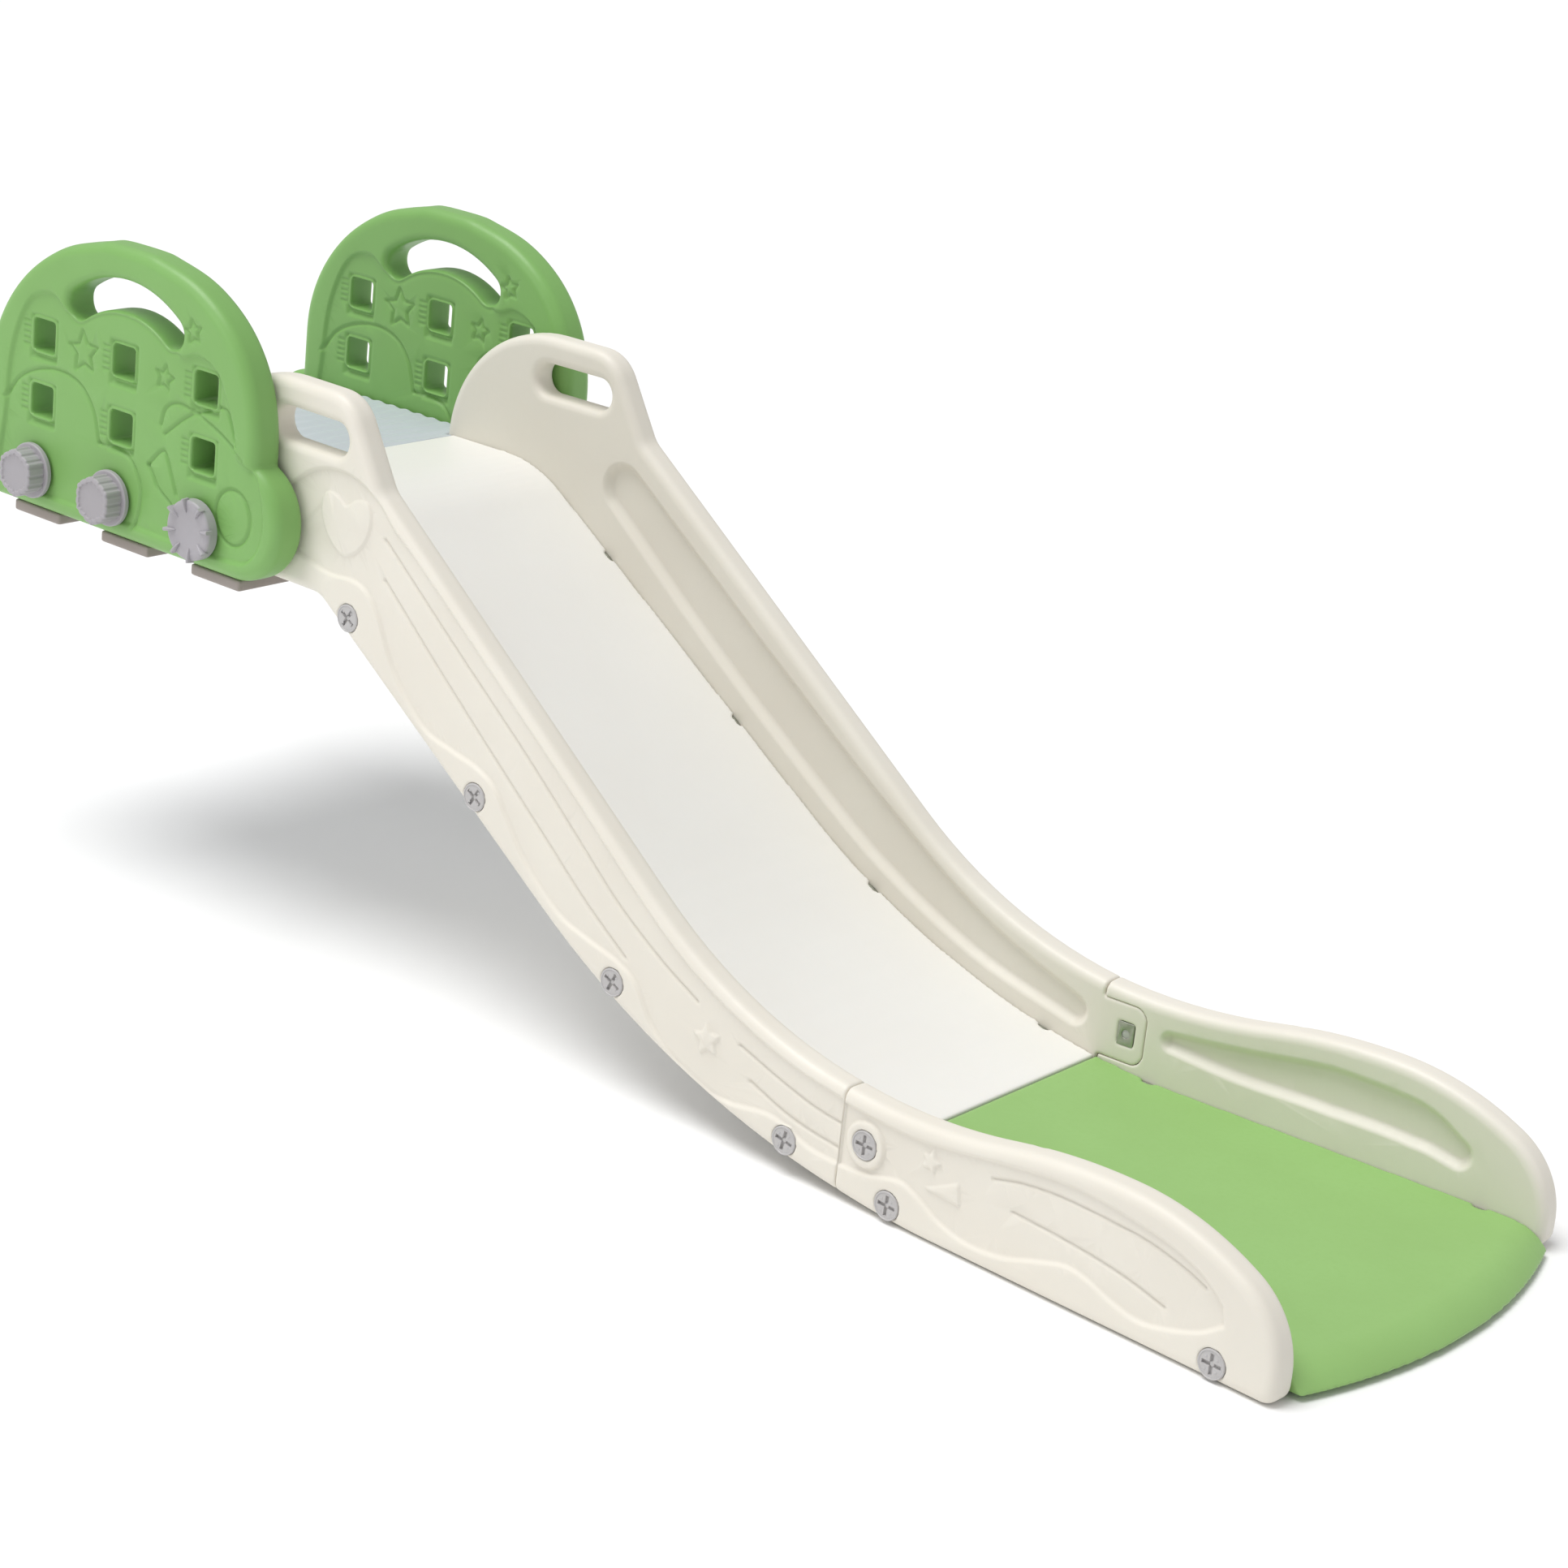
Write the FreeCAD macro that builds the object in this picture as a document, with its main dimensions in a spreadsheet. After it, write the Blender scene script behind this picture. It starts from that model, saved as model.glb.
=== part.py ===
import FreeCAD, Part
import math
import os

"""Child's wave slide: a two-part slide with a raised deck between two domed guard panels.

The origin lies on the floor, midway along the slide and midway between its sides.
+X runs downhill, +Y towards the far side rail and +Z up. Every length is in millimetres.
"""

Vector = FreeCAD.Vector
Placement = FreeCAD.Placement
Rotation = FreeCAD.Rotation

X_AXIS = Vector(1, 0, 0)
Y_AXIS = Vector(0, 1, 0)
Z_AXIS = Vector(0, 0, 1)
NEAR = -1
FAR = 1
SIDES = {"near": NEAR, "far": FAR}
SMALL = 0.001
BEYOND = 40.0

SIZES = {
    # The whole slide
    "toe_reach": 832.0,
    "deck_height": 448.0,
    "slope_angle": 34.0,
    "seam_reach": 345.0,
    "seam_gap": 0.6,
    "seat_gap": 0.3,
    # Sliding surface
    "board_thickness": 18.0,
    "board_joint_gap": 3.0,
    "crest_radius": 146.0,
    "sweep_radius": 878.0,
    "runout_height": 25.0,
    "runout_length": 643.4,
    "deck_flat": 123.5,
    "lip_reach": 45.0,
    "lip_radius": 50.0,
    "lip_angle": 50.0,
    "lip_lift": 5.0,
    "lip_bow": 637.0,
    "lip_land": 20.0,
    # Side rails
    "rail_thickness": 32.0,
    "rail_spread": 204.0,
    "upper_flare": 1.2,
    "lower_flare": 2.8,
    "rail_rounding": 10.0,
    "hump_rise": 135.0,
    "hump_radius": 140.0,
    "hump_rear": 12.0,
    "hump_shoulder": 213.0,
    "shoulder_radius": 45.0,
    "neck_reach": 262.0,
    "neck_rise": 51.0,
    "neck_radius": 30.0,
    "dip_reach": 602.5,
    "dip_height": 107.0,
    "dip_radius": 511.0,
    "wave_start": 369.0,
    "wave_end": 246.0,
    "wave_height": 133.0,
    "wave_radius": 600.0,
    "brow_reach": 113.0,
    "brow_radius": 285.0,
    "nose_height": 78.0,
    "nose_radius": 86.0,
    "keel_radius": 30.0,
    "corner_radius": 14.0,
    "grip_length": 104.0,
    "grip_width": 34.0,
    "grip_reach": 162.0,
    "grip_rise": 89.0,
    "grip_rounding": 8.0,
    # Lap joint between the upper and lower rails
    "tongue_length": 50.0,
    "tongue_root": 4.0,
    "tongue_low": 34.0,
    "tongue_high": 95.0,
    "tongue_radius": 14.0,
    "tongue_thickness": 14.0,
    "joint_reach": 29.0,
    "joint_height": 64.0,
    # Cross-head screws and their square nuts
    "head_radius": 14.0,
    "head_height": 5.0,
    "shank_radius": 4.5,
    "board_bite": 12.0,
    "board_drop": 9.0,
    "joint_end": 31.0,
    "cross_width": 4.0,
    "cross_length": 20.0,
    "cross_depth": 3.0,
    "board_nut_width": 13.0,
    "board_nut_depth": 4.5,
    "joint_nut_width": 18.0,
    "joint_nut_height": 24.0,
    "joint_nut_depth": 7.0,
    "thread_fit": 0.05,
    "clearance": 0.3,
    # Deck
    "deck_thickness": 72.0,
    "deck_length": 293.0,
    "deck_shelf": 74.0,
    "deck_nose": 112.0,
    "deck_nose_drop": 15.0,
    "deck_rounding": 8.0,
    # Guard panels
    "panel_gap": 0.52,
    "panel_thickness": 40.0,
    "panel_offset": 75.0,
    "panel_rounding": 12.0,
    "dome_rise": 226.0,
    "dome_shoulder": 54.0,
    "dome_half_width": 203.0,
    "front_lobe_radius": 62.0,
    "front_lobe_offset": 179.0,
    "rear_lobe_radius": 38.0,
    "rear_lobe_offset": 202.0,
    "window_width": 33.0,
    "window_pitch": 122.0,
    "window_centre": 5.0,
    "lower_window_rise": 42.0,
    "upper_window_rise": 110.0,
    "window_corner": 3.0,
    "window_flare": 4.5,
    "handle_rise": 177.0,
    "handle_radius": 122.0,
    "handle_width": 32.0,
    "handle_angle": 35.0,
    "handle_rounding": 8.0,
    # Hand knobs and front dials
    "knob_drop": 32.0,
    "rear_knob_reach": 198.0,
    "middle_knob_reach": 78.0,
    "front_knob_reach": -52.0,
    "collar_radius": 29.0,
    "collar_height": 5.0,
    "grasp_half_width": 23.0,
    "grasp_corner": 9.0,
    "grasp_height": 20.0,
    "flute_radius": 2.5,
    "flute_pitch": 8.0,
    "flute_depth": 15.0,
    "recess_half_width": 16.0,
    "recess_corner": 3.0,
    "recess_depth": 2.0,
    "knob_rounding": 1.5,
    "knob_shank_radius": 7.0,
    "knob_shank_length": 92.0,
    "turning_fit": 0.05,
    "dial_radius": 31.0,
    "dial_height": 12.0,
    "dial_rib_inner": 17.0,
    "dial_rib_outer": 28.0,
    "dial_rib_width": 5.0,
    "dial_rib_height": 1.5,
    # Brackets that the knobs and dials tighten into
    "bracket_width": 71.0,
    "bracket_depth": 12.0,
    "bracket_pitch": 136.0,
    "bracket_gap": 1.75,
    "bracket_outer": 238.0,
    "upstand_width": 40.0,
    "upstand_thickness": 17.0,
    "upstand_gap": 3.3,
}

# Sizes that follow from the ones above, as formulas between cells; angles are in degrees
RAIL_REAR = "(toe_reach - runout_length - (deck_height - runout_height) / tan(slope_angle) - deck_flat - hump_rear)"
PANEL_FRONT = f"({RAIL_REAR} + hump_rear - panel_offset + front_lobe_offset + front_lobe_radius)"
HALF_RAIL = "rail_thickness / (2 * cos(upper_flare))"
FOLLOWING_SIZES = {
    "panel_spread": f"rail_spread + {HALF_RAIL} - (seam_reach - {PANEL_FRONT}) * tan(upper_flare)"
                    " + panel_gap + panel_thickness / 2",
    "bracket_inner": f"rail_spread - {HALF_RAIL} - (seam_reach - {RAIL_REAR}) * tan(upper_flare)"
                     " - bracket_gap - upstand_thickness",
    "upstand_height": "deck_thickness - board_thickness + seat_gap - upstand_gap",
}

UPPER_SCREW_REACHES = (671.0, 481.0, 285.0, 62.0)
LOWER_SCREW_REACHES = (-62.5, -423.0)
RADIAL_REPEATS = {"dial": 8, "knob": 6}
BRACKETS_PER_SIDE = 3
DOME_STEPS = 8
DOME_POWERS = {1: 2.3, -1: 2.0}
LIP_SWEEP = 50.0


# ---------------------------------------------------------------- sizes


def make_sheet(document):
    """Put every driving size into a spreadsheet cell under its own alias, then those that follow."""
    sheet = document.addObject("Spreadsheet::Sheet", "sizes")
    formulas = {alias: f"={formula}" for alias, formula in FOLLOWING_SIZES.items()}
    for row, (alias, content) in enumerate({**SIZES, **formulas}.items(), start=1):
        sheet.set(f"A{row}", alias)
        sheet.set(f"B{row}", str(content))
        sheet.setAlias(f"B{row}", alias)
    document.recompute()
    return sheet


class Sizes:
    """The sheet's numbers under their aliases, with the places that follow from them."""

    def __init__(self, sheet):
        self.sheet = sheet

    def __getattr__(self, alias):
        return float(self.sheet.get(alias))

    def slope(self):
        return math.radians(self.slope_angle)

    def sweep_corner(self):
        """X where the slope would meet the run-out."""
        return self.toe_reach - self.runout_length

    def crest_corner(self):
        """X where the slope would meet the deck's level."""
        return self.sweep_corner() - (self.deck_height - self.runout_height) / math.tan(self.slope())

    def deck_line(self):
        """X where the deck ends and the sliding surface begins."""
        return self.crest_corner() - self.deck_flat

    def deck_base(self):
        return self.deck_height - self.deck_thickness

    def panel_centre(self):
        return self.deck_line() - self.panel_offset

    def panel_face(self):
        """How far the guard panels' outer faces lie from the slide's middle."""
        return self.panel_spread + self.panel_thickness / 2

    def knob_level(self):
        return self.deck_height - self.knob_drop

    def knob_places(self):
        """X of the rear, middle and front knob axes."""
        reaches = (self.rear_knob_reach, self.middle_knob_reach, self.front_knob_reach)
        return [self.deck_line() - reach for reach in reaches]

    def surface(self, x):
        """Height and downhill angle of the sliding surface at x."""
        bend = math.tan(self.slope() / 2)
        crest_start = self.crest_corner() - self.crest_radius * bend
        sweep_end = self.sweep_corner() + self.sweep_radius * bend
        if x < crest_start + self.crest_radius * math.sin(self.slope()):
            angle = math.asin(max(0.0, x - crest_start) / self.crest_radius)
            return self.deck_height - self.crest_radius * (1 - math.cos(angle)), angle
        if x > sweep_end - self.sweep_radius * math.sin(self.slope()):
            angle = math.asin(max(0.0, sweep_end - x) / self.sweep_radius)
            return self.runout_height + self.sweep_radius * (1 - math.cos(angle)), angle
        return self.deck_height - (x - self.crest_corner()) * math.tan(self.slope()), self.slope()


# ---------------------------------------------------------------- outlines


def rounded(corners):
    """Lines and tangent arcs round a closed outline of (x, z, radius) corners.

    Where two bends would run into each other, both radii are eased until they fit.
    """
    count = len(corners)
    points = [Vector(x, z, 0) for x, z, _ in corners]
    sides = [points[(index + 1) % count] - points[index] for index in range(count)]
    halves = [(-sides[index - 1]).getAngle(sides[index]) / 2 for index in range(count)]
    reaches = [corner[2] / math.tan(half) for corner, half in zip(corners, halves)]
    needs = [reaches[index] + reaches[(index + 1) % count] for index in range(count)]
    rooms = [min(1.0, side.Length / max(need, SMALL)) for side, need in zip(sides, needs)]
    bends = []
    for index, here in enumerate(points):
        reach = reaches[index] * min(rooms[index - 1], rooms[index])
        ahead = Vector(sides[index]).normalize()
        back = Vector(sides[index - 1]).normalize() * -1
        radius = reach * math.tan(halves[index])
        depth = radius / math.sin(halves[index]) - radius
        middle = here + (ahead + back).normalize() * depth
        bends.append((here + back * reach, middle, here + ahead * reach))
    shapes = []
    for index, (start, middle, end) in enumerate(bends):
        if (end - start).Length > SMALL:
            shapes.append(Part.Arc(start, middle, end))
        following = bends[(index + 1) % count][0]
        if (following - end).Length > SMALL:
            shapes.append(Part.LineSegment(end, following))
    return shapes


def rectangle(left, low, right, high, radius=0.0):
    return rounded([(left, low, radius), (right, low, radius), (right, high, radius), (left, high, radius)])


def tab(left, low, right, high, radius):
    """A rectangle whose two right-hand corners are rounded."""
    return rounded([(left, low, 0.0), (right, low, radius), (right, high, radius), (left, high, 0.0)])


def polygon(sides, half_width, radius):
    """A regular polygon about the origin with a flat side towards +X."""
    step = 2 * math.pi / sides
    reach = half_width / math.cos(step / 2)
    angles = [step * (index + 0.5) for index in range(sides)]
    return rounded([(reach * math.cos(angle), reach * math.sin(angle), radius) for angle in angles])


def disc(x, z, radius):
    return Part.Circle(Vector(x, z, 0), Z_AXIS, radius)


def board_section(size, start, end):
    """The sliding surface between two stations, with the board's thickness under it."""
    shift = size.board_thickness * math.tan(size.slope() / 2)
    top = [
        (size.crest_corner(), size.deck_height, size.crest_radius),
        (size.sweep_corner(), size.runout_height, size.sweep_radius),
    ]
    under = [
        (x - shift, z - size.board_thickness, radius + turn * size.board_thickness)
        for (x, z, radius), turn in zip(top, (-1, 1))
    ]
    left_top = [(start, size.deck_height, 0.0)]
    right_end = [(end, size.runout_height, 0.0), (end, size.runout_height - size.board_thickness, 0.0)]
    left_low = [(start, size.deck_height - size.board_thickness, 0.0)]
    return rounded(left_top + top + right_end + under[::-1] + left_low)


def lip_section(size):
    """The front of the lower board, rolled down to just above the floor."""
    tip = size.toe_reach + size.lip_reach
    corner = tip - (size.runout_height - size.lip_lift) / math.tan(math.radians(size.lip_angle))
    root = tip - size.lip_bow / 3
    under = size.runout_height - size.board_thickness
    return rounded([
        (root, size.runout_height, 0.0),
        (corner, size.runout_height, size.lip_radius),
        (tip, size.lip_lift, 0.0),
        (tip - size.lip_land, size.lip_lift, 0.0),
        (tip - size.lip_land - size.lip_lift, under, 0.0),
        (root, under, 0.0),
    ])


def rail_outline(size):
    """The whole side of the slide, hump to toe, with x measured from the seam."""
    base = size.deck_base() + size.seat_gap
    line = size.deck_line()
    rear = line - size.hump_rear
    toe = size.toe_reach
    keel = size.sweep_corner() - size.runout_height * math.tan(size.slope() / 2)
    corners = [
        (rear, base, size.corner_radius),
        (keel - base / math.tan(size.slope()), base, size.keel_radius),
        (keel, 0.0, size.sweep_radius + size.runout_height),
        (toe, 0.0, size.corner_radius),
        (toe, size.nose_height, size.nose_radius),
        (toe - size.brow_reach, size.wave_height, size.brow_radius),
        (toe - size.wave_end, size.wave_height, size.wave_radius),
        (toe - size.wave_start, size.dip_height, size.wave_radius),
        (toe - size.dip_reach, size.dip_height, size.dip_radius),
        (line + size.neck_reach, size.deck_height + size.neck_rise, size.neck_radius),
        (line + size.hump_shoulder, size.deck_height + size.hump_rise, size.shoulder_radius),
        (rear, size.deck_height + size.hump_rise, size.hump_radius),
    ]
    return rounded([(x - size.seam_reach, z, radius) for x, z, radius in corners])


def dome_flank(size, direction):
    """One flank of the dome, from its shoulder up to its top, as a smooth curve."""
    power = 2 / DOME_POWERS[direction]
    shoulder = size.deck_height + size.dome_shoulder
    rise = size.dome_rise - size.dome_shoulder
    points = []
    for step in range(DOME_STEPS + 1):
        angle = math.pi / 2 * step / DOME_STEPS
        across = abs(math.cos(angle)) ** power * size.dome_half_width
        up = math.sin(angle) ** power * rise
        points.append(Vector(size.panel_centre() + direction * across, shoulder + up, 0))
    points[-1].x = size.panel_centre()
    curve = Part.BSplineCurve()
    curve.interpolate(Points=points, InitialTangent=Vector(0, 1, 0), FinalTangent=Vector(-direction, 0, 0))
    return curve


def lobe(size, direction, radius, offset):
    """One foot of the panel: its lowest point, its widest point and where it meets the dome."""
    base = size.deck_base()
    middle = size.panel_centre() + direction * offset
    wall = size.panel_centre() + direction * size.dome_half_width
    top = base + radius + math.sqrt(radius**2 - (wall - middle) ** 2)
    foot = Vector(middle, base, 0)
    side = Vector(middle + direction * radius, base + radius, 0)
    return foot, side, Vector(wall, top, 0)


def panel_outline(size):
    """A dome that stands on a large front lobe and a small rear lobe, with a flat bottom."""
    front_foot, front_side, front_top = lobe(size, 1, size.front_lobe_radius, size.front_lobe_offset)
    rear_foot, rear_side, rear_top = lobe(size, -1, size.rear_lobe_radius, size.rear_lobe_offset)
    shoulder = size.deck_height + size.dome_shoulder
    return [
        Part.LineSegment(rear_foot, front_foot),
        Part.Arc(front_foot, front_side, front_top),
        Part.LineSegment(front_top, Vector(front_top.x, shoulder, 0)),
        dome_flank(size, 1),
        dome_flank(size, -1),
        Part.LineSegment(Vector(rear_top.x, shoulder, 0), rear_top),
        Part.Arc(rear_top, rear_side, rear_foot),
    ]


def handle_outline(size):
    """A banana-shaped hand hole that follows the top of the dome."""
    top = size.deck_height + size.handle_rise
    centre = Vector(size.panel_centre() + size.window_centre, top - size.handle_radius, 0)
    reach = math.radians(size.handle_angle)
    half = size.handle_width / 2
    tip = reach + half / size.handle_radius

    def on(radius, angle):
        return centre + Vector(math.sin(angle), math.cos(angle), 0) * radius

    outer = size.handle_radius + half
    inner = size.handle_radius - half
    return [
        Part.Arc(on(outer, -reach), on(outer, 0), on(outer, reach)),
        Part.Arc(on(outer, reach), on(size.handle_radius, tip), on(inner, reach)),
        Part.Arc(on(inner, reach), on(inner, 0), on(inner, -reach)),
        Part.Arc(on(inner, -reach), on(size.handle_radius, -tip), on(outer, -reach)),
    ]


# ---------------------------------------------------------------- document helpers


def bind(item, **expressions):
    """Tie properties to sheet cells, each by an expression in the cells' aliases."""
    for name, expression in expressions.items():
        item.setExpression(name, expression)
    return item


def new_body(document, name):
    body = document.addObject("PartDesign::Body", name)
    body.Label = name
    return body


def sketch_in(body, name, shapes, role="XZ_Plane", level=0.0, turn=0.0):
    """A sketch of the given curves, off one of the body's planes and turned about its own Y."""
    sketch = body.newObject("Sketcher::SketchObject", name)
    plane = next(item for item in body.Origin.OriginFeatures if item.Role == role)
    sketch.AttachmentSupport = [(plane, "")]
    sketch.MapMode = "FlatFace"
    turned = Rotation(Y_AXIS, turn)
    sketch.AttachmentOffset = Placement(turned.multVec(Vector(0, 0, level)), turned)
    for shape in shapes:
        sketch.addGeometry(shape, False)
    return sketch


def slab(body, name, shapes, length):
    """Material to both sides of the body's XZ plane; length is an expression."""
    pad = body.newObject("PartDesign::Pad", name)
    pad.Profile = sketch_in(body, name + "_outline", shapes)
    pad.SideType = "Symmetric"
    return bind(pad, Length=length)


def pierce(body, name, shapes, turn=0.0):
    """Holes right through the body across its XZ plane."""
    pocket = body.newObject("PartDesign::Pocket", name)
    pocket.Profile = sketch_in(body, name + "_outline", shapes, turn=turn)
    pocket.SideType = "Symmetric"
    pocket.Type = "ThroughAll"
    return pocket


def sink(body, name, shapes, face, depth, turn=0.0):
    """A pocket from the plane Y = face towards the middle; depth is an expression."""
    pocket = body.newObject("PartDesign::Pocket", name)
    pocket.Profile = sketch_in(body, name + "_outline", shapes, level=-face, turn=turn)
    pocket.Reversed = face > 0
    return bind(pocket, Length=depth)


def thicken(body, name, shapes, face, depth, turn=0.0):
    """Material from the plane Y = face towards the middle; depth is an expression."""
    pad = body.newObject("PartDesign::Pad", name)
    pad.Profile = sketch_in(body, name + "_outline", shapes, level=-face, turn=turn)
    pad.Reversed = face < 0
    return bind(pad, Length=depth)


def stack(body, name, shapes, level, height, downward=False):
    """Material on the body's XY plane raised by level; height is an expression."""
    pad = body.newObject("PartDesign::Pad", name)
    pad.Profile = sketch_in(body, name + "_outline", shapes, role="XY_Plane", level=level)
    pad.Reversed = downward
    return bind(pad, Length=height)


def dig(body, name, shapes, level, depth):
    """A pocket downward from the body's XY plane raised by level; depth is an expression."""
    pocket = body.newObject("PartDesign::Pocket", name)
    pocket.Profile = sketch_in(body, name + "_outline", shapes, role="XY_Plane", level=level)
    return bind(pocket, Length=depth)


def repeat_round(body, feature, occurrences):
    """Copies of one feature spaced evenly about the body's own Z."""
    pattern = body.newObject("PartDesign::PolarPattern", feature.Name + "_pattern")
    pattern.Originals = [feature]
    pattern.Axis = (feature.Profile[0], ["N_Axis"])
    pattern.Angle = 360.0
    pattern.Occurrences = occurrences
    body.Tip = pattern
    return pattern


def dress(body, kind, name, keep, **expressions):
    """A fillet or chamfer on every edge whose bounding box passes the keep test."""
    body.Document.recompute()
    base = body.Tip
    edges = [f"Edge{index}" for index, edge in enumerate(base.Shape.Edges, start=1) if keep(edge.BoundBox)]
    feature = body.newObject(f"PartDesign::{kind}", name)
    feature.Base = (base, edges)
    return bind(feature, **expressions)


def round_top(body, name, level, radius):
    """Fillet every edge that lies in the plane Z = level; radius is an expression."""
    return dress(
        body, "Fillet", name, lambda bounds: bounds.ZLength < SMALL and abs(bounds.ZMax - level) < SMALL,
        Radius=radius,
    )


def on_faces(bounds, face):
    """Whether an edge lies in the plane Y = face or in the plane Y = -face."""
    return bounds.YLength < SMALL and abs(abs(bounds.Center.y) - face) < SMALL


def in_window(bounds, left, low, right, high):
    """Whether an edge lies inside a rectangle of x and z, give or take a hair."""
    across = left - 1 < bounds.XMin and bounds.XMax < right + 1
    return across and low - 1 < bounds.ZMin and bounds.ZMax < high + 1


def block(document, name, place, **expressions):
    """A Part box whose three sizes are expressions."""
    item = document.addObject("Part::Box", name)
    item.Placement = place
    return bind(item, **expressions)


def rod(document, name, place, **expressions):
    """A Part cylinder along its own Z whose radius and height are expressions."""
    item = document.addObject("Part::Cylinder", name)
    item.Placement = place
    return bind(item, **expressions)


def carved(document, name, base, tools):
    """The base less all the tools, under its own label."""
    fusion = document.addObject("Part::MultiFuse", name + "_tools")
    fusion.Shapes = tools
    cut = document.addObject("Part::Cut", name)
    cut.Base = base
    cut.Tool = fusion
    cut.Label = name
    return cut


def copies(document, name, pattern, places):
    """Separate copies of one pattern piece, kept together under one label."""
    document.recompute()
    shapes = []
    for place in places:
        shape = pattern.Shape.copy()
        shape.Placement = place.multiply(shape.Placement)
        shapes.append(shape)
    item = document.addObject("Part::Feature", name)
    item.Shape = shapes[0] if len(shapes) == 1 else Part.makeCompound(shapes)
    item.Label = name
    return item


# ---------------------------------------------------------------- places


def outward(spot, side, face, angle=0.0):
    """A frame at Y = face whose Z points away from the slide's middle and whose Y points up."""
    facing = Rotation(Z_AXIS, 180.0 if side == FAR else 0.0).multiply(Rotation(X_AXIS, 90.0))
    tilt = Rotation(Y_AXIS, math.degrees(angle))
    return Placement(Vector(spot.x, face, spot.z), tilt.multiply(facing))


def rail_place(size, part, side):
    """Frame of a side rail: its origin stands at the seam and its X runs along the rail."""
    flare = size.upper_flare if part == "upper" else size.lower_flare
    return Placement(Vector(size.seam_reach, side * size.rail_spread, 0), Rotation(Z_AXIS, side * flare))


def stand_rail(body, size, part, side):
    """Set a rail's body down in its frame and tie its seat to the sheet."""
    body.Placement = rail_place(size, part, side)
    bind(body, **{"Placement.Base.x": "sizes.seam_reach", "Placement.Base.y": f"{side} * sizes.rail_spread"})
    return body


def board_spots(size, part):
    """Where a rail's board screws pass, in its own frame, with the surface's angle there."""
    spots = []
    for reach in UPPER_SCREW_REACHES if part == "upper" else LOWER_SCREW_REACHES:
        height, angle = size.surface(size.seam_reach - reach)
        x = -reach - size.board_drop * math.sin(angle)
        spots.append((Vector(x, 0, height - size.board_drop * math.cos(angle)), angle))
    return spots


def joint_spot(size):
    return Vector(size.joint_reach, 0, size.joint_height)


# ---------------------------------------------------------------- side rails


def make_rail(document, size, part, side, side_name):
    """One blow-moulded side rail, trimmed at the seam and rounded along both faces."""
    name = f"{side_name}_{part}_rail"
    body = new_body(document, name)
    slab(body, name + "_slab", rail_outline(size), "sizes.rail_thickness")
    seam = -size.seam_gap / 2 if part == "upper" else size.seam_gap / 2
    left, right = sorted((seam, -math.copysign(3 * size.toe_reach, seam)))
    pierce(body, name + "_trim", rectangle(left, -BEYOND, right, 2 * size.deck_height))
    dress(
        body, "Fillet", name + "_rims",
        lambda bounds: on_faces(bounds, size.rail_thickness / 2) and abs(bounds.Center.x - seam) > SMALL,
        Radius="sizes.rail_rounding",
    )
    if part == "upper":
        add_grip(body, size, name)
        add_tongue(body, size, name, side)
    else:
        add_tongue_seat(body, size, name, side)
    add_screw_holes(body, size, name, part, side)
    return stand_rail(body, size, part, side)


def add_grip(body, size, name):
    """The hand slot through the hump."""
    middle = size.deck_line() + size.grip_reach - size.seam_reach
    level = size.deck_height + size.grip_rise
    half_length = size.grip_length / 2
    half_width = size.grip_width / 2
    limits = (middle - half_length, level - half_width, middle + half_length, level + half_width)
    pierce(body, name + "_grip", rectangle(*limits, half_width))
    dress(
        body, "Fillet", name + "_grip_rims",
        lambda bounds: on_faces(bounds, size.rail_thickness / 2) and in_window(bounds, *limits),
        Radius="sizes.grip_rounding",
    )


def lap_turn(size, side):
    """How far the tongue turns from the upper rail's frame into the lower rail's."""
    return side * (size.lower_flare - size.upper_flare)


def add_tongue(body, size, name, side):
    """The tongue on the inner face that laps the lower rail, with its square nut's pocket."""
    inner = -side * size.rail_thickness / 2
    turn = lap_turn(size, side)
    spot = joint_spot(size)
    outline = tab(-size.tongue_root, size.tongue_low, size.tongue_length, size.tongue_high, size.tongue_radius)
    thicken(body, name + "_tongue", outline, inner, "sizes.tongue_thickness", turn)
    half_width = size.joint_nut_width / 2 + size.clearance
    half_height = size.joint_nut_height / 2 + size.clearance
    seat = rectangle(spot.x - half_width, spot.z - half_height, spot.x + half_width, spot.z + half_height)
    sink(body, name + "_nut_seat", seat, inner, "sizes.joint_nut_depth + sizes.clearance", turn)
    pierce(body, name + "_joint_hole", [disc(spot.x, spot.z, size.shank_radius + size.clearance)], turn)


def add_tongue_seat(body, size, name, side):
    """The recess in the lower rail's inner face that takes the tongue."""
    gap = size.clearance
    outline = tab(
        -size.tongue_root, size.tongue_low - gap,
        size.tongue_length + gap, size.tongue_high + gap, size.tongue_radius,
    )
    inner = -side * size.rail_thickness / 2
    sink(body, name + "_tongue_seat", outline, inner, "sizes.tongue_thickness + sizes.clearance")


def add_screw_holes(body, size, name, part, side):
    """Shank holes and flush head seats for the rail's screws, and the front dial's way through."""
    spots = [spot for spot, _ in board_spots(size, part)]
    if part == "lower":
        spots.append(joint_spot(size))
    shanks = [disc(spot.x, spot.z, size.shank_radius + size.clearance) for spot in spots]
    heads = [disc(spot.x, spot.z, size.head_radius + size.clearance) for spot in spots]
    if part == "upper":
        dial = size.knob_places()[-1] - size.seam_reach
        shanks.append(disc(dial, size.knob_level(), size.knob_shank_radius + 4 * size.clearance))
    pierce(body, name + "_shank_holes", shanks)
    outer = side * size.rail_thickness / 2
    sink(body, name + "_head_seats", heads, outer, "sizes.head_height + sizes.clearance")


# ---------------------------------------------------------------- slide boards


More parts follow.
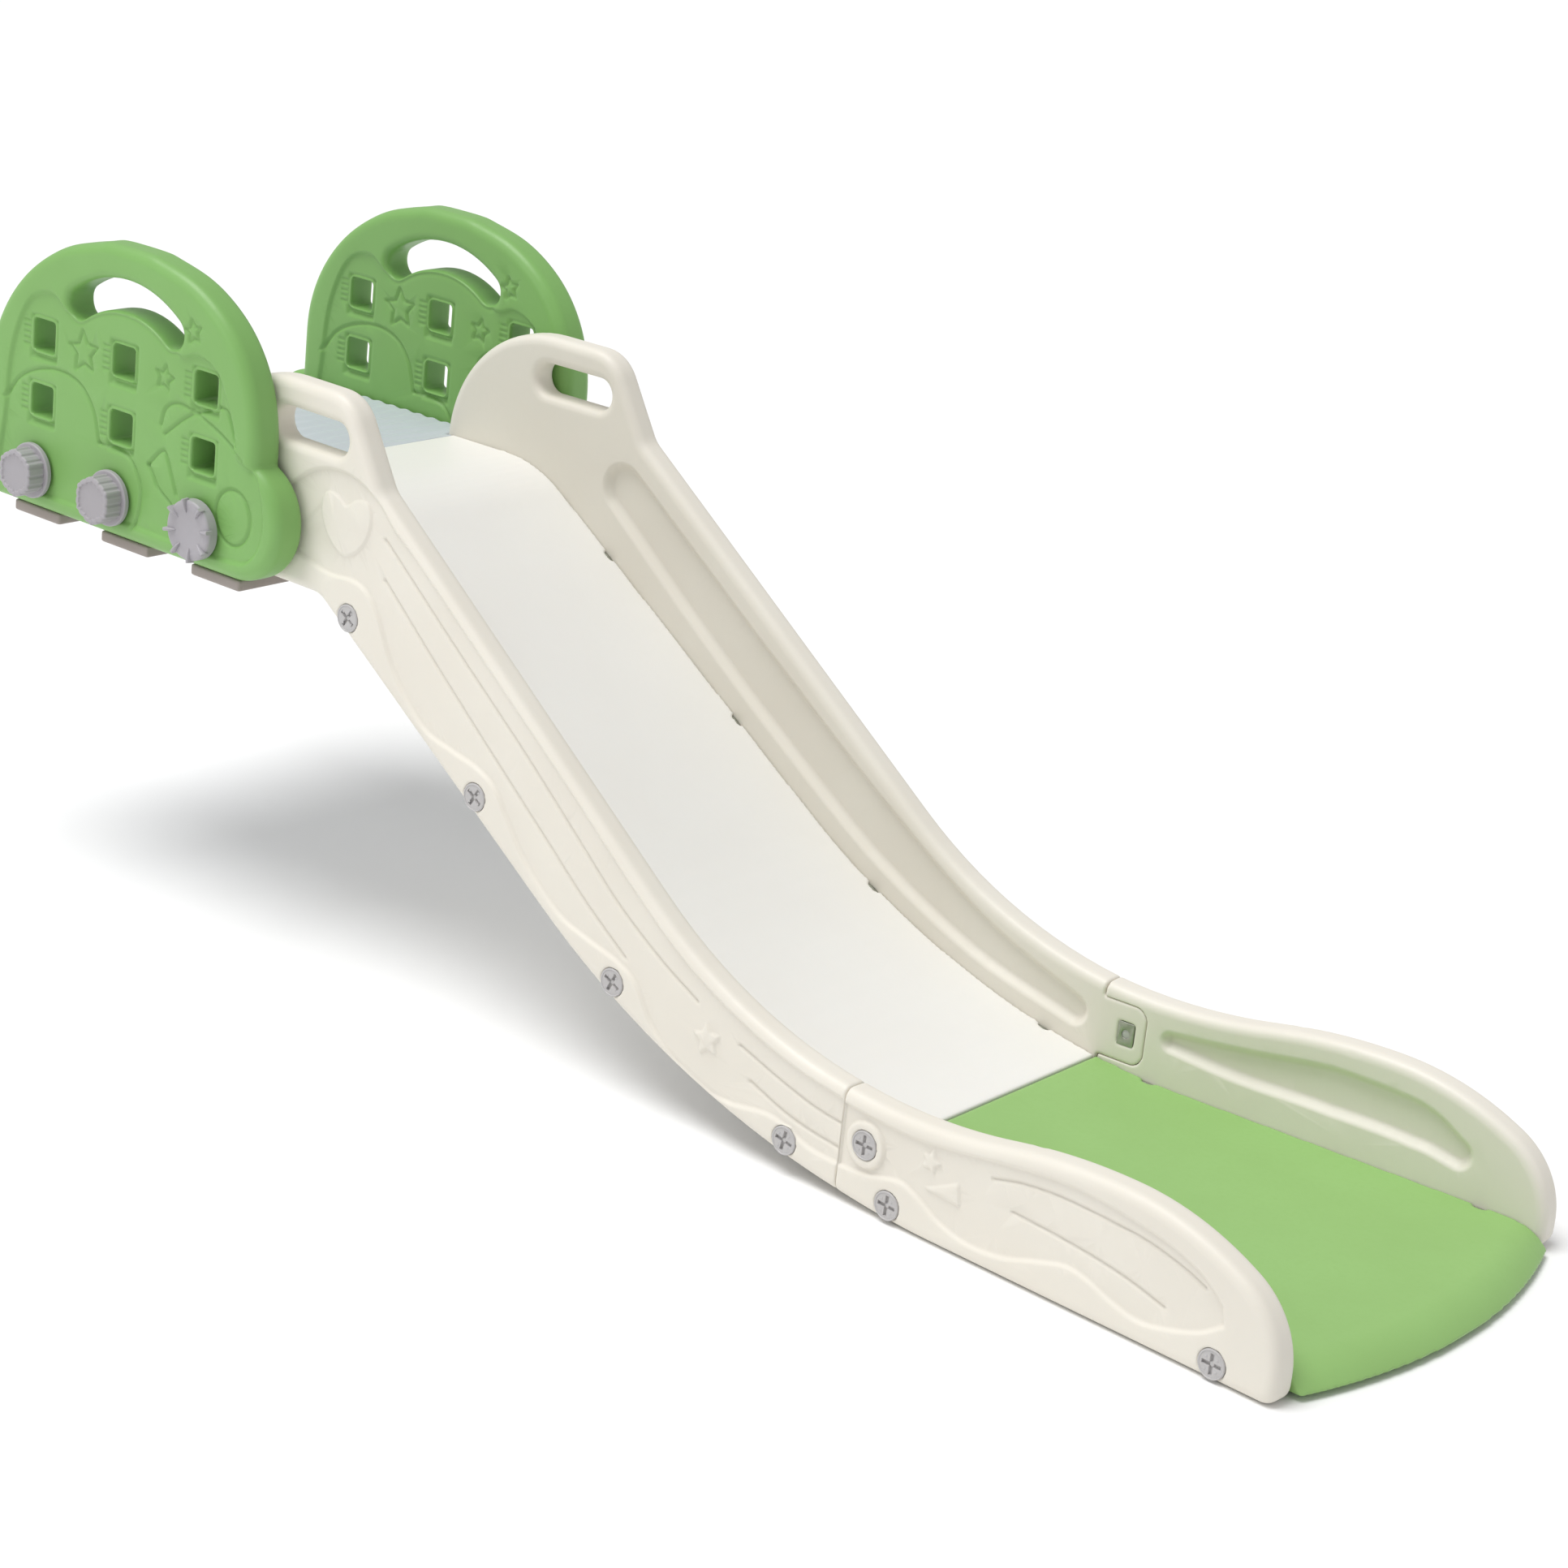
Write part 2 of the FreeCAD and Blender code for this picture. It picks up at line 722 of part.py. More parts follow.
def side_trims(document, size, name, part, start):
    """Two blocks in the side rails' places that cut off whatever reaches into them."""
    blocks = []
    inner = size.rail_thickness / 2 + size.seat_gap
    depth = 4 * size.rail_thickness
    for side_name, side in SIDES.items():
        low = -inner if side == FAR else inner - depth
        corner = Placement(Vector(start - size.seam_reach, low, -BEYOND), Rotation())
        blocks.append(block(
            document, f"{name}_{side_name}_trim", rail_place(size, part, side).multiply(corner),
            Length="4 * sizes.toe_reach", Width="4 * sizes.rail_thickness", Height="2 * sizes.deck_height",
        ))
    return blocks


def nut_slots(document, size, name, part):
    """Slots in a board's long edges that its square nuts drop into, each with a shank hole."""
    tools = []
    half = size.board_nut_width / 2 + size.clearance
    depth = size.board_nut_depth + 2 * size.clearance
    for side_name, side in SIDES.items():
        edge = -side * (size.rail_thickness / 2 + size.seat_gap)
        for index, (spot, angle) in enumerate(board_spots(size, part), start=1):
            frame = rail_place(size, part, side).multiply(outward(spot, side, edge, angle))
            label = f"{name}_{side_name}_{index}"
            tools.append(block(
                document, label + "_slot", frame.multiply(Placement(Vector(-half, -half, -depth), Rotation())),
                Length="sizes.board_nut_width + 2 * sizes.clearance",
                Width="sizes.board_nut_width + sizes.board_thickness",
                Height="sizes.board_nut_depth + 3 * sizes.clearance",
            ))
            bore = Placement(Vector(0, 0, -size.board_bite - size.clearance), Rotation())
            tools.append(rod(
                document, label + "_bore", frame.multiply(bore),
                Radius="sizes.shank_radius + sizes.clearance", Height="sizes.board_bite + 2 * sizes.clearance",
            ))
    return tools


def make_upper_board(document, size):
    """The upper sliding surface, from the deck over the crest and down to the seam."""
    name = "upper_slide_board"
    body = new_body(document, name + "_blank")
    start = size.deck_line() + size.seat_gap
    slab(body, name + "_slab", board_section(size, start, size.toe_reach), "2 * sizes.panel_spread")
    seam = size.seam_reach - size.board_joint_gap / 2
    pierce(body, name + "_end", rectangle(seam, -BEYOND, size.toe_reach + BEYOND, size.deck_height))
    tools = side_trims(document, size, name, "upper", start - BEYOND)
    return carved(document, name, body, tools + nut_slots(document, size, name, "upper"))


def make_lower_board(document, size):
    """The lower sliding surface and its bowed lip, rolled down to the floor."""
    name = "lower_slide_board"
    body = new_body(document, name + "_blank")
    end = size.toe_reach - 2 * BEYOND
    slab(body, name + "_slab", board_section(size, size.deck_line(), end), "2 * sizes.panel_spread")
    seam = size.seam_reach + size.board_joint_gap / 2
    pierce(body, name + "_start", rectangle(-2 * size.toe_reach, -BEYOND, seam, 2 * size.deck_height))
    lip = body.newObject("PartDesign::Revolution", name + "_lip")
    sketch = sketch_in(body, name + "_lip_section", lip_section(size))
    pivot = size.toe_reach + size.lip_reach - size.lip_bow
    sketch.addGeometry(Part.LineSegment(Vector(pivot, 0, 0), Vector(pivot, 1, 0)), True)
    lip.Profile = sketch
    lip.ReferenceAxis = (sketch, ["Axis0"])
    lip.Midplane = True
    lip.Angle = LIP_SWEEP
    tools = side_trims(document, size, name, "lower", size.deck_line())
    return carved(document, name, body, tools + nut_slots(document, size, name, "lower"))


# ---------------------------------------------------------------- deck and guard panels


def make_deck(document, size):
    """The standing deck, with a shelf under the upper board and pockets for the brackets."""
    name = "deck"
    line = size.deck_line()
    rear = line - size.deck_length
    base = size.deck_base()
    shelf = size.deck_height - size.board_thickness - size.seat_gap
    body = new_body(document, name + "_blank")
    section = rounded([
        (rear, base, 0.0),
        (line + size.deck_nose, base, 0.0),
        (line + size.deck_nose, shelf - size.deck_nose_drop, 0.0),
        (line + size.deck_shelf, shelf, 0.0),
        (line, shelf, 0.0),
        (line, size.deck_height, 0.0),
        (rear, size.deck_height, size.deck_rounding),
    ])
    slab(body, name + "_slab", section, "2 * (sizes.panel_spread - sizes.panel_thickness / 2 - sizes.seat_gap)")
    tools = side_trims(document, size, name, "upper", line - size.hump_rear - size.seat_gap)
    for side_name, side in SIDES.items():
        for index, x in enumerate(size.knob_places(), start=1):
            tools += bracket_room(document, size, f"{name}_{side_name}_{index}", side, x)
    return carved(document, name, body, tools)


def strip_low(side, inner, outer):
    """The lower Y of a strip that lies between two distances from the middle."""
    return inner if side == FAR else -outer


def bracket_room(document, size, label, side, x):
    """What the deck gives up to one bracket: a pocket from below and a hole for the shank."""
    gap = size.clearance
    inner = size.bracket_inner - gap
    outer = size.bracket_inner + size.upstand_thickness + gap
    low = strip_low(side, inner, outer)
    corner = Vector(x - size.upstand_width / 2 - gap, low, size.deck_base() - BEYOND)
    pocket = block(
        document, label + "_pocket", Placement(corner, Rotation()),
        Length="sizes.upstand_width + 2 * sizes.clearance",
        Width="sizes.upstand_thickness + 2 * sizes.clearance",
        Height=f"sizes.upstand_height + sizes.clearance + {BEYOND}",
    )
    face = side * size.bracket_inner
    hole = rod(
        document, label + "_hole", outward(Vector(x, 0, size.knob_level()), side, face),
        Radius="sizes.knob_shank_radius + 2 * sizes.clearance", Height="sizes.panel_spread",
    )
    return [pocket, hole]


def make_panel(document, size, side, side_name):
    """A domed guard panel with six windows, a hand hole and three knob holes."""
    name = f"{side_name}_guard_panel"
    half = size.panel_thickness / 2
    body = new_body(document, name)
    slab(body, name + "_slab", panel_outline(size), "sizes.panel_thickness")
    dress(
        body, "Fillet", name + "_rims", lambda bounds: on_faces(bounds, half),
        Radius="sizes.panel_rounding",
    )
    for limits in window_limits(size):
        label = f"{name}_window_{round(limits[0] - size.panel_centre() + size.toe_reach)}_{round(limits[1])}"
        pierce(body, label, rectangle(*limits, size.window_corner))
    dress(
        body, "Chamfer", name + "_window_flares",
        lambda bounds: on_faces(bounds, half) and any(in_window(bounds, *limits) for limits in window_limits(size)),
        Size="sizes.window_flare",
    )
    add_handle(body, size, name)
    holes = [disc(x, size.knob_level(), size.knob_shank_radius + size.turning_fit) for x in size.knob_places()]
    pierce(body, name + "_knob_holes", holes)
    body.Placement = Placement(Vector(0, side * size.panel_spread, 0), Rotation())
    return bind(body, **{"Placement.Base.y": f"{side} * sizes.panel_spread"})


def window_limits(size):
    """Left, low, right and high of each window, row by row."""
    limits = []
    half = size.window_width / 2
    for rise in (size.lower_window_rise, size.upper_window_rise):
        for column in (-1, 0, 1):
            x = size.panel_centre() + size.window_centre + column * size.window_pitch
            z = size.deck_height + rise
            limits.append((x - half, z - half, x + half, z + half))
    return limits


def add_handle(body, size, name):
    """The hand hole near the panel's top, with rounded rims."""
    pierce(body, name + "_handle", handle_outline(size))
    middle = size.panel_centre() + size.window_centre
    top = size.deck_height + size.handle_rise + size.handle_width / 2
    half_length = (size.handle_radius + size.handle_width) * math.sin(math.radians(size.handle_angle))
    limits = (middle - half_length, top - size.handle_radius / 2, middle + half_length, top)
    dress(
        body, "Fillet", name + "_handle_rims",
        lambda bounds: on_faces(bounds, size.panel_thickness / 2) and in_window(bounds, *limits),
        Radius="sizes.handle_rounding",
    )


# ---------------------------------------------------------------- knobs, dials and brackets


def stand_knob(body, size, side, x):
    """Put a knob or dial on its guard panel's outer face."""
    body.Placement = outward(Vector(x, 0, size.knob_level()), side, side * size.panel_face())
    face = f"{side} * (sizes.panel_spread + sizes.panel_thickness / 2)"
    return bind(body, **{
        "Placement.Base.y": face,
        "Placement.Base.z": "sizes.deck_height - sizes.knob_drop",
    })


def make_knob(document, size, name, side, x):
    """A fluted hexagonal hand knob on a round collar, with its shank."""
    body = new_body(document, name)
    seat = size.seat_gap
    collar_top = seat + size.collar_height
    top = collar_top + size.grasp_height
    repeats = RADIAL_REPEATS["knob"]
    stack(body, name + "_collar", [disc(0, 0, size.collar_radius)], seat, "sizes.collar_height")
    round_top(body, name + "_collar_rim", collar_top, "sizes.knob_rounding")
    grasp = polygon(repeats, size.grasp_half_width, size.grasp_corner)
    stack(body, name + "_grasp", grasp, collar_top, "sizes.grasp_height")
    round_top(body, name + "_grasp_rim", top, "sizes.knob_rounding")
    reach = size.grasp_half_width + size.flute_radius / 3
    flutes = [disc(reach, step * size.flute_pitch, size.flute_radius) for step in (-1, 0, 1)]
    repeat_round(body, dig(body, name + "_flutes", flutes, top, "sizes.flute_depth"), repeats)
    recess = polygon(repeats, size.recess_half_width, size.recess_corner)
    dig(body, name + "_recess", recess, top, "sizes.recess_depth")
    shank = [disc(0, 0, size.knob_shank_radius)]
    stack(body, name + "_shank", shank, seat, "sizes.knob_shank_length", downward=True)
    return stand_knob(body, size, side, x)


def make_dial(document, size, name, side, x):
    """A round hand dial with pointed ribs about its rim, and its shank."""
    body = new_body(document, name)
    seat = size.seat_gap
    top = seat + size.dial_height
    stack(body, name + "_disc", [disc(0, 0, size.dial_radius)], seat, "sizes.dial_height")
    round_top(body, name + "_rim", top, "2 * sizes.knob_rounding")
    half = size.dial_rib_width / 2
    rib = rounded([(size.dial_rib_inner, 0, 0.0), (size.dial_rib_outer, -half, 0.0), (size.dial_rib_outer, half, 0.0)])
    raised = stack(body, name + "_ribs", rib, top, "sizes.dial_rib_height")
    repeat_round(body, raised, RADIAL_REPEATS["dial"])
    shank = [disc(0, 0, size.knob_shank_radius)]
    stack(body, name + "_shank", shank, seat, "sizes.knob_shank_length", downward=True)
    return stand_knob(body, size, side, x)


def make_brackets(document, size, side, side_name):
    """Three L-shaped brackets under the deck; the knobs' shanks end in their upstands."""
    parts = []
    top = size.deck_base() - size.seat_gap
    first = size.knob_places()[0]
    foot_low = strip_low(side, size.bracket_inner, size.bracket_outer)
    upstand_low = strip_low(side, size.bracket_inner, size.bracket_inner + size.upstand_thickness)
    for index, x in enumerate(size.knob_places()):
        label = f"{side_name}_bracket_{index + 1}"
        middle = first + index * size.bracket_pitch
        corner = Vector(middle - size.bracket_width / 2, foot_low, top - size.bracket_depth)
        foot = block(
            document, label + "_foot", Placement(corner, Rotation()),
            Length="sizes.bracket_width", Width="sizes.bracket_outer - sizes.bracket_inner",
            Height="sizes.bracket_depth",
        )
        corner = Vector(x - size.upstand_width / 2, upstand_low, top - size.bracket_depth / 2)
        upstand = block(
            document, label + "_upstand", Placement(corner, Rotation()),
            Length="sizes.upstand_width", Width="sizes.upstand_thickness",
            Height="sizes.upstand_height + sizes.bracket_depth / 2",
        )
        whole = document.addObject("Part::MultiFuse", label + "_whole")
        whole.Shapes = [foot, upstand]
        hole = rod(
            document, label + "_hole", outward(Vector(x, 0, size.knob_level()), side, 0.0),
            Radius="sizes.knob_shank_radius + sizes.turning_fit", Height="sizes.panel_spread",
        )
        cut = document.addObject("Part::Cut", label)
        cut.Base = whole
        cut.Tool = hole
        parts.append(cut)
    node = document.addObject("Part::Compound", f"{side_name}_brackets")
    node.Links = parts
    node.Label = f"{side_name}_brackets"
    return node


# ---------------------------------------------------------------- screws and nuts


def make_screw(document, size, name, length):
    """Pattern of a flush cross-head screw: Z points out of its head; length is an expression."""
    body = new_body(document, name)
    stack(body, name + "_head", [disc(0, 0, size.head_radius)], 0.0, "sizes.head_height", downward=True)
    stack(body, name + "_shank", [disc(0, 0, size.shank_radius)], 0.0, length, downward=True)
    long = size.cross_length / 2
    thin = size.cross_width / 2
    cross = rounded([
        (long, -thin, 0.0), (long, thin, 0.0), (thin, thin, 0.0), (thin, long, 0.0),
        (-thin, long, 0.0), (-thin, thin, 0.0), (-long, thin, 0.0), (-long, -thin, 0.0),
        (-thin, -thin, 0.0), (-thin, -long, 0.0), (thin, -long, 0.0), (thin, -thin, 0.0),
    ])
    dig(body, name + "_cross", cross, 0.0, "sizes.cross_depth")
    return body


def make_nut(document, size, name, width, height, depth):
    """Pattern of a square nut whose outer face lies on its own XY plane; depth is an expression."""
    body = new_body(document, name)
    outline = rectangle(-width / 2, -height / 2, width / 2, height / 2)
    hole = disc(0, 0, size.shank_radius + size.thread_fit)
    stack(body, name + "_plate", outline + [hole], 0.0, depth, downward=True)
    return body


def screw_places(size, part, side):
    """Frames of a rail's board screws at its outer face."""
    outer = side * size.rail_thickness / 2
    frame = rail_place(size, part, side)
    return [frame.multiply(outward(spot, side, outer, angle)) for spot, angle in board_spots(size, part)]


def joint_place(size, side, face):
    """Frame of the joint screw at Y = face in the lower rail."""
    return rail_place(size, "lower", side).multiply(outward(joint_spot(size), side, face))


def nut_places(size, part):
    """Frames of the square nuts in both long edges of a board."""
    places = []
    for side in SIDES.values():
        face = -side * (size.rail_thickness / 2 + size.seat_gap + size.clearance)
        frame = rail_place(size, part, side)
        places += [frame.multiply(outward(spot, side, face, angle)) for spot, angle in board_spots(size, part)]
    return places


def make_fasteners(document, size):
    """Every screw and nut, grouped by the piece that it holds."""
    reach = "sizes.rail_thickness + sizes.seat_gap + sizes.board_bite"
    board_screw = make_screw(document, size, "board_screw_pattern", reach)
    joint_screw = make_screw(document, size, "joint_screw_pattern", "sizes.joint_end")
    width = size.board_nut_width
    board_nut = make_nut(document, size, "board_nut_pattern", width, width, "sizes.board_nut_depth")
    joint_nut = make_nut(
        document, size, "joint_nut_pattern",
        size.joint_nut_width, size.joint_nut_height, "sizes.joint_nut_depth",
    )
    half = size.rail_thickness / 2
    made = []
    for side_name, side in SIDES.items():
        for part in ("upper", "lower"):
            name = f"{side_name}_{part}_rail_screws"
            made.append(copies(document, name, board_screw, screw_places(size, part, side)))
        outer = joint_place(size, side, side * half)
        made.append(copies(document, f"{side_name}_joint_screw", joint_screw, [outer]))
        seat = joint_place(size, side, side * (size.joint_nut_depth - half))
        made.append(copies(document, f"{side_name}_joint_nut", joint_nut, [seat]))
    for part in ("upper", "lower"):
        made.append(copies(document, f"{part}_board_nuts", board_nut, nut_places(size, part)))
    return made


# ---------------------------------------------------------------- the whole slide


def make_side(document, size, side_name, side):
    """Everything that stands on one side of the deck and boards, fasteners aside."""
    rear, middle, front = size.knob_places()
    return [
        make_rail(document, size, "upper", side, side_name),
        make_rail(document, size, "lower", side, side_name),
        make_panel(document, size, side, side_name),
        make_brackets(document, size, side, side_name),
        make_knob(document, size, f"{side_name}_rear_knob", side, rear),
        make_knob(document, size, f"{side_name}_middle_knob", side, middle),
        make_dial(document, size, f"{side_name}_front_dial", side, front),
    ]


def check_sound(document, nodes):
    """Stop if any feature failed or any piece came out empty or broken."""
    for item in document.Objects:
        if "Invalid" in item.State or "Error" in item.State:
            raise RuntimeError(f"{item.Label} failed: {item.State}")
    for node in nodes:
        if node.Shape.isNull() or not node.Shape.isValid() or not node.Shape.Solids:
            raise RuntimeError(f"{node.Label} has no sound shape")


def main():
    document = FreeCAD.newDocument("wave_slide")
    size = Sizes(make_sheet(document))
    nodes = [make_deck(document, size), make_upper_board(document, size), make_lower_board(document, size)]
    for side_name, side in SIDES.items():
        nodes += make_side(document, size, side_name, side)
    nodes += make_fasteners(document, size)
    document.recompute()
    check_sound(document, nodes)
    os.makedirs("parts", exist_ok=True)
    for node in nodes:
        node.Shape.exportStep(f"parts/{node.Label}.step")
        print(node.Label, len(node.Shape.Solids), "solids", round(node.Shape.Volume / 1000), "cm3")


main()
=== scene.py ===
"""Looks of a child's wave slide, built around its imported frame.

Laid out as an add-on: sizes and colours are scene properties, every group of pieces has
its own operator, and a panel in the 3D view's sidebar lists them. Lengths are in metres.
"""

import math

import bmesh
import bpy
import numpy as np
from mathutils import Matrix, Vector


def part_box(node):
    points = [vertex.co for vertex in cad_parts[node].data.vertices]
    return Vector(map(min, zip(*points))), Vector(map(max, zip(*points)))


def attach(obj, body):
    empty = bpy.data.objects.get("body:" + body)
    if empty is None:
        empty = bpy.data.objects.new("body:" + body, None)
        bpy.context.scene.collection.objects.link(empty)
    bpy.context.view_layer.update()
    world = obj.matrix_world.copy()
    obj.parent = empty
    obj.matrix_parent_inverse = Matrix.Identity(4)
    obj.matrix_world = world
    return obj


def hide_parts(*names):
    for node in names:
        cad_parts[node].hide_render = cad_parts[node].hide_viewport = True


bl_info = {
    "name": "Wave slide",
    "version": (1, 0, 0),
    "blender": (4, 5, 0),
    "location": "3D View > Sidebar > Wave slide",
    "description": "Builds the moulded pieces, finishes and studio of a child's wave slide",
    "category": "Object",
}

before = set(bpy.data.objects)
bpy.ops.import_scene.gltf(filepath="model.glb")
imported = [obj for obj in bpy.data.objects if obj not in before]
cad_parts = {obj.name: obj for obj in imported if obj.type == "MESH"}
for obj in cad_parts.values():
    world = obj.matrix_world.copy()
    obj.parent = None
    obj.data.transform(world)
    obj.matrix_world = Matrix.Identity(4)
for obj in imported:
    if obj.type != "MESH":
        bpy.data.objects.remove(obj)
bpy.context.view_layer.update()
MM = 0.001
SIDES = {"near": -1, "far": 1}

TINY = 1e-12
WELD = 0.01 * MM

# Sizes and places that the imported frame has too
SEAM_X = 345 * MM
RAIL_SPREAD = 204 * MM
RAIL_FLARE = {"upper": math.radians(1.2), "lower": math.radians(2.8)}
PANEL_SPREAD = 225 * MM
PANEL_HALF_THICKNESS = 20 * MM
HEAD_HEIGHT = 5 * MM


# ------------------------------------------------------------------ curves in a face's plane


def curve_through(points, closed=False, steps=6):
    """A smooth curve through a few points in millimetres, as many short runs in metres."""
    knots = np.array(points, float) * MM
    if closed:
        ends = (knots[-1:], knots[:2])
    else:
        ends = (2 * knots[:1] - knots[1:2], 2 * knots[-1:] - knots[-2:-1])
    padded = np.vstack((ends[0], knots, ends[1]))
    shares = np.linspace(0, 1, steps, endpoint=False)[:, None]
    runs = []
    for before, here, there, after in zip(padded, padded[1:], padded[2:], padded[3:]):
        bend = 2 * before - 5 * here + 4 * there - after
        twist = 3 * here - before - 3 * there + after
        runs.append(here + ((there - before) * shares + bend * shares**2 + twist * shares**3) / 2)
    runs.append(knots[:1] if closed else knots[-1:])
    return np.vstack(runs)


def straight_through(points, closed=False):
    """Straight runs between points in millimetres, in metres."""
    knots = np.array(points, float) * MM
    return np.vstack((knots, knots[:1])) if closed else knots


def round_outline(x, z, half_width, half_height, steps=40):
    """A closed ellipse about a point, from sizes in millimetres."""
    turns = np.linspace(0, 2 * math.pi, steps + 1)
    return np.column_stack((x + half_width * np.cos(turns), z + half_height * np.sin(turns))) * MM


def star_outline(x, z, reach, tilt=0.0, waist=0.5):
    """A closed five-pointed star about a point, from sizes in millimetres."""
    corners = np.arange(11)
    turns = np.radians(90 + tilt) + corners * math.pi / 5
    reaches = np.where(corners % 2 == 0, reach, reach * waist)
    return np.column_stack((x + reaches * np.cos(turns), z + reaches * np.sin(turns))) * MM


def nearest(points, line):
    """Each point's distance to a line of runs, and how far along the line the nearest place is."""
    starts = line[:-1]
    steps = line[1:] - starts
    offsets = points[:, None, :] - starts[None]
    shares = np.clip((offsets * steps).sum(2) / np.maximum((steps**2).sum(1), TINY), 0, 1)
    distances = np.linalg.norm(offsets - shares[..., None] * steps, axis=2)
    best = distances.argmin(1)
    rows = np.arange(len(points))
    return distances[rows, best], (best + shares[rows, best]) / len(steps)


def inside(points, outline):
    """Whether each point lies inside a closed outline."""
    x, z = points[:, 0, None], points[:, 1, None]
    x0, z0 = outline[:-1, 0], outline[:-1, 1]
    x1, z1 = outline[1:, 0], outline[1:, 1]
    spans = (z0 > z) != (z1 > z)
    rise = np.where(z1 == z0, TINY, z1 - z0)
    crossings = spans & (x < x0 + (z - z0) * (x1 - x0) / rise)
    return crossings.sum(1) % 2 == 1


def eased(share):
    """A smooth step from 0 to 1."""
    share = np.clip(share, 0, 1)
    return share * share * (3 - 2 * share)


def close_to(points, line, reach):
    """Which points may lie within a distance of a line, by its box alone."""
    low = line.min(0) - reach
    high = line.max(0) + reach
    return ((points > low) & (points < high)).all(1)


# ------------------------------------------------------------------ relief on moulded faces


def bead(points, line, half_width, height):
    """Heights of a rounded bead along a line, or of a groove where the height is negative."""
    heights = np.zeros(len(points))
    near = close_to(points, line, half_width)
    if near.any():
        distance, _ = nearest(points[near], line)
        heights[near] = height * np.clip(1 - (distance / half_width) ** 2, 0, 1) ** 2
    return heights


def plateau(points, outline, edge, height):
    """Heights of a flat area inside a closed outline, with a soft edge of a given width."""
    heights = np.zeros(len(points))
    near = close_to(points, outline, edge)
    if near.any():
        distance, _ = nearest(points[near], outline)
        signed = np.where(inside(points[near], outline), distance, -distance)
        heights[near] = height * eased(signed / edge + 0.5)
    return heights


def channel(points, line, half_widths, edge, depth):
    """Heights of a sunken channel along a line whose half width changes from end to end."""
    heights = np.zeros(len(points))
    near = close_to(points, line, max(half_widths) + edge)
    if near.any():
        distance, along = nearest(points[near], line)
        half_width = np.interp(along, np.linspace(0, 1, len(half_widths)), half_widths)
        heights[near] = -depth * eased((half_width - distance) / edge + 0.5)
    return heights


# Lines and outlines in a face's plane, as x and z in millimetres
UPPER_WAVE = [
    (-425, 418), (-392, 408), (-362, 402), (-330, 404), (-308, 397), (-290, 376), (-263, 328), (-218, 285),
    (-177, 273), (-143, 266), (-117, 253), (-98, 228), (-66, 190), (-21, 156), (20, 143), (58, 134),
    (84, 120), (107, 88), (137, 63), (170, 47), (210, 45), (255, 51), (281, 47), (310, 37), (350, 34),
]
UPPER_BORDER = [
    (350, 97), (287, 107), (225, 125), (154, 156), (86, 200), (-20, 281), (-140, 370), (-240, 444),
    (-275, 468), (-300, 490), (-330, 505), (-360, 508), (-392, 500), (-425, 478),
]
UPPER_GROOVES = [
    [(-289, 455), (-184, 374), (-83, 298), (-6, 236), (51, 190), (110, 153), (160, 128)],
    [(-286, 415), (-202, 345), (-96, 261), (-46, 222), (10, 178), (66, 140)],
    [(216, 104), (263, 89), (309, 77), (350, 72)],
    [(232, 74), (273, 60), (306, 53), (350, 48)],
]
LOWER_WAVE = [
    (340, 34), (378, 37), (399, 42), (418, 45), (435, 40), (467, 24), (500, 17), (538, 20), (573, 31),
    (606, 40), (631, 37), (654, 29), (685, 22), (714, 26), (750, 38), (774, 54),
]
LOWER_BORDER = [
    (770, 70), (748, 88), (715, 101), (680, 108), (640, 113), (594, 114), (534, 107), (472, 97), (418, 92),
    (340, 96),
]
LOWER_GROOVES = [
    [(518, 87), (551, 95), (594, 99), (642, 98), (687, 95), (727, 86), (749, 78)],
    [(543, 65), (587, 63), (634, 59), (674, 53), (711, 44)],
]
HEART = [
    (-345, 475), (-357, 482), (-372, 483), (-379, 467), (-369, 441), (-345, 425), (-320, 440), (-309, 466),
    (-315, 485), (-332, 483),
]
SAIL = [(446, 50), (486, 48), (482, 68)]
UPPER_TROUGH = [(-318, 446), (-210, 364), (-100, 284), (60, 176), (190, 108), (312, 70)]
LOWER_TROUGH = [(424, 72), (500, 74), (600, 82), (690, 80), (736, 66)]

# Half widths of each trough from end to end, in millimetres
UPPER_TROUGH_WIDTHS = (24, 27, 28, 27, 20, 13)
LOWER_TROUGH_WIDTHS = (7, 14, 21, 20, 12)

# Stars as x, z and reach in millimetres and tilt in degrees
UPPER_STAR = (177, 96, 17, 10)
LOWER_STAR = (449, 77, 12, -12)
PANEL_STARS = ((-693, 555, 22, 6), (-571, 556, 13, -8), (-529, 612, 12, 14))

# Ellipses as x, z, half width and half height in millimetres
JOINT_BOSS = (374, 64, 22, 22)
PANEL_ELLIPSE = (-463, 439, 25, 28)


def between(wave, border):
    """A closed outline that follows a wave one way and a border back."""
    field = np.vstack((curve_through(wave), curve_through(border)))
    return np.vstack((field, field[:1]))


def lined_field(points, outline, lines, sizes):
    """Heights of a sunken field with moulded lines in it."""
    heights = plateau(points, outline, sizes.edge_width, -sizes.field_depth)
    for line in lines:
        heights += bead(points, curve_through(line), sizes.line_width, -sizes.line_depth)
    return heights


def upper_rail_outside(points, sizes):
    """Sunken field between the wave and the rim, with its lines, heart and star."""
    heights = lined_field(points, between(UPPER_WAVE, UPPER_BORDER), UPPER_GROOVES, sizes)
    heart = curve_through(HEART, closed=True)
    heights += plateau(points, heart, sizes.edge_width / 2, sizes.badge_height)
    heights += plateau(points, star_outline(*UPPER_STAR), sizes.edge_width / 2, sizes.badge_height)
    return heights


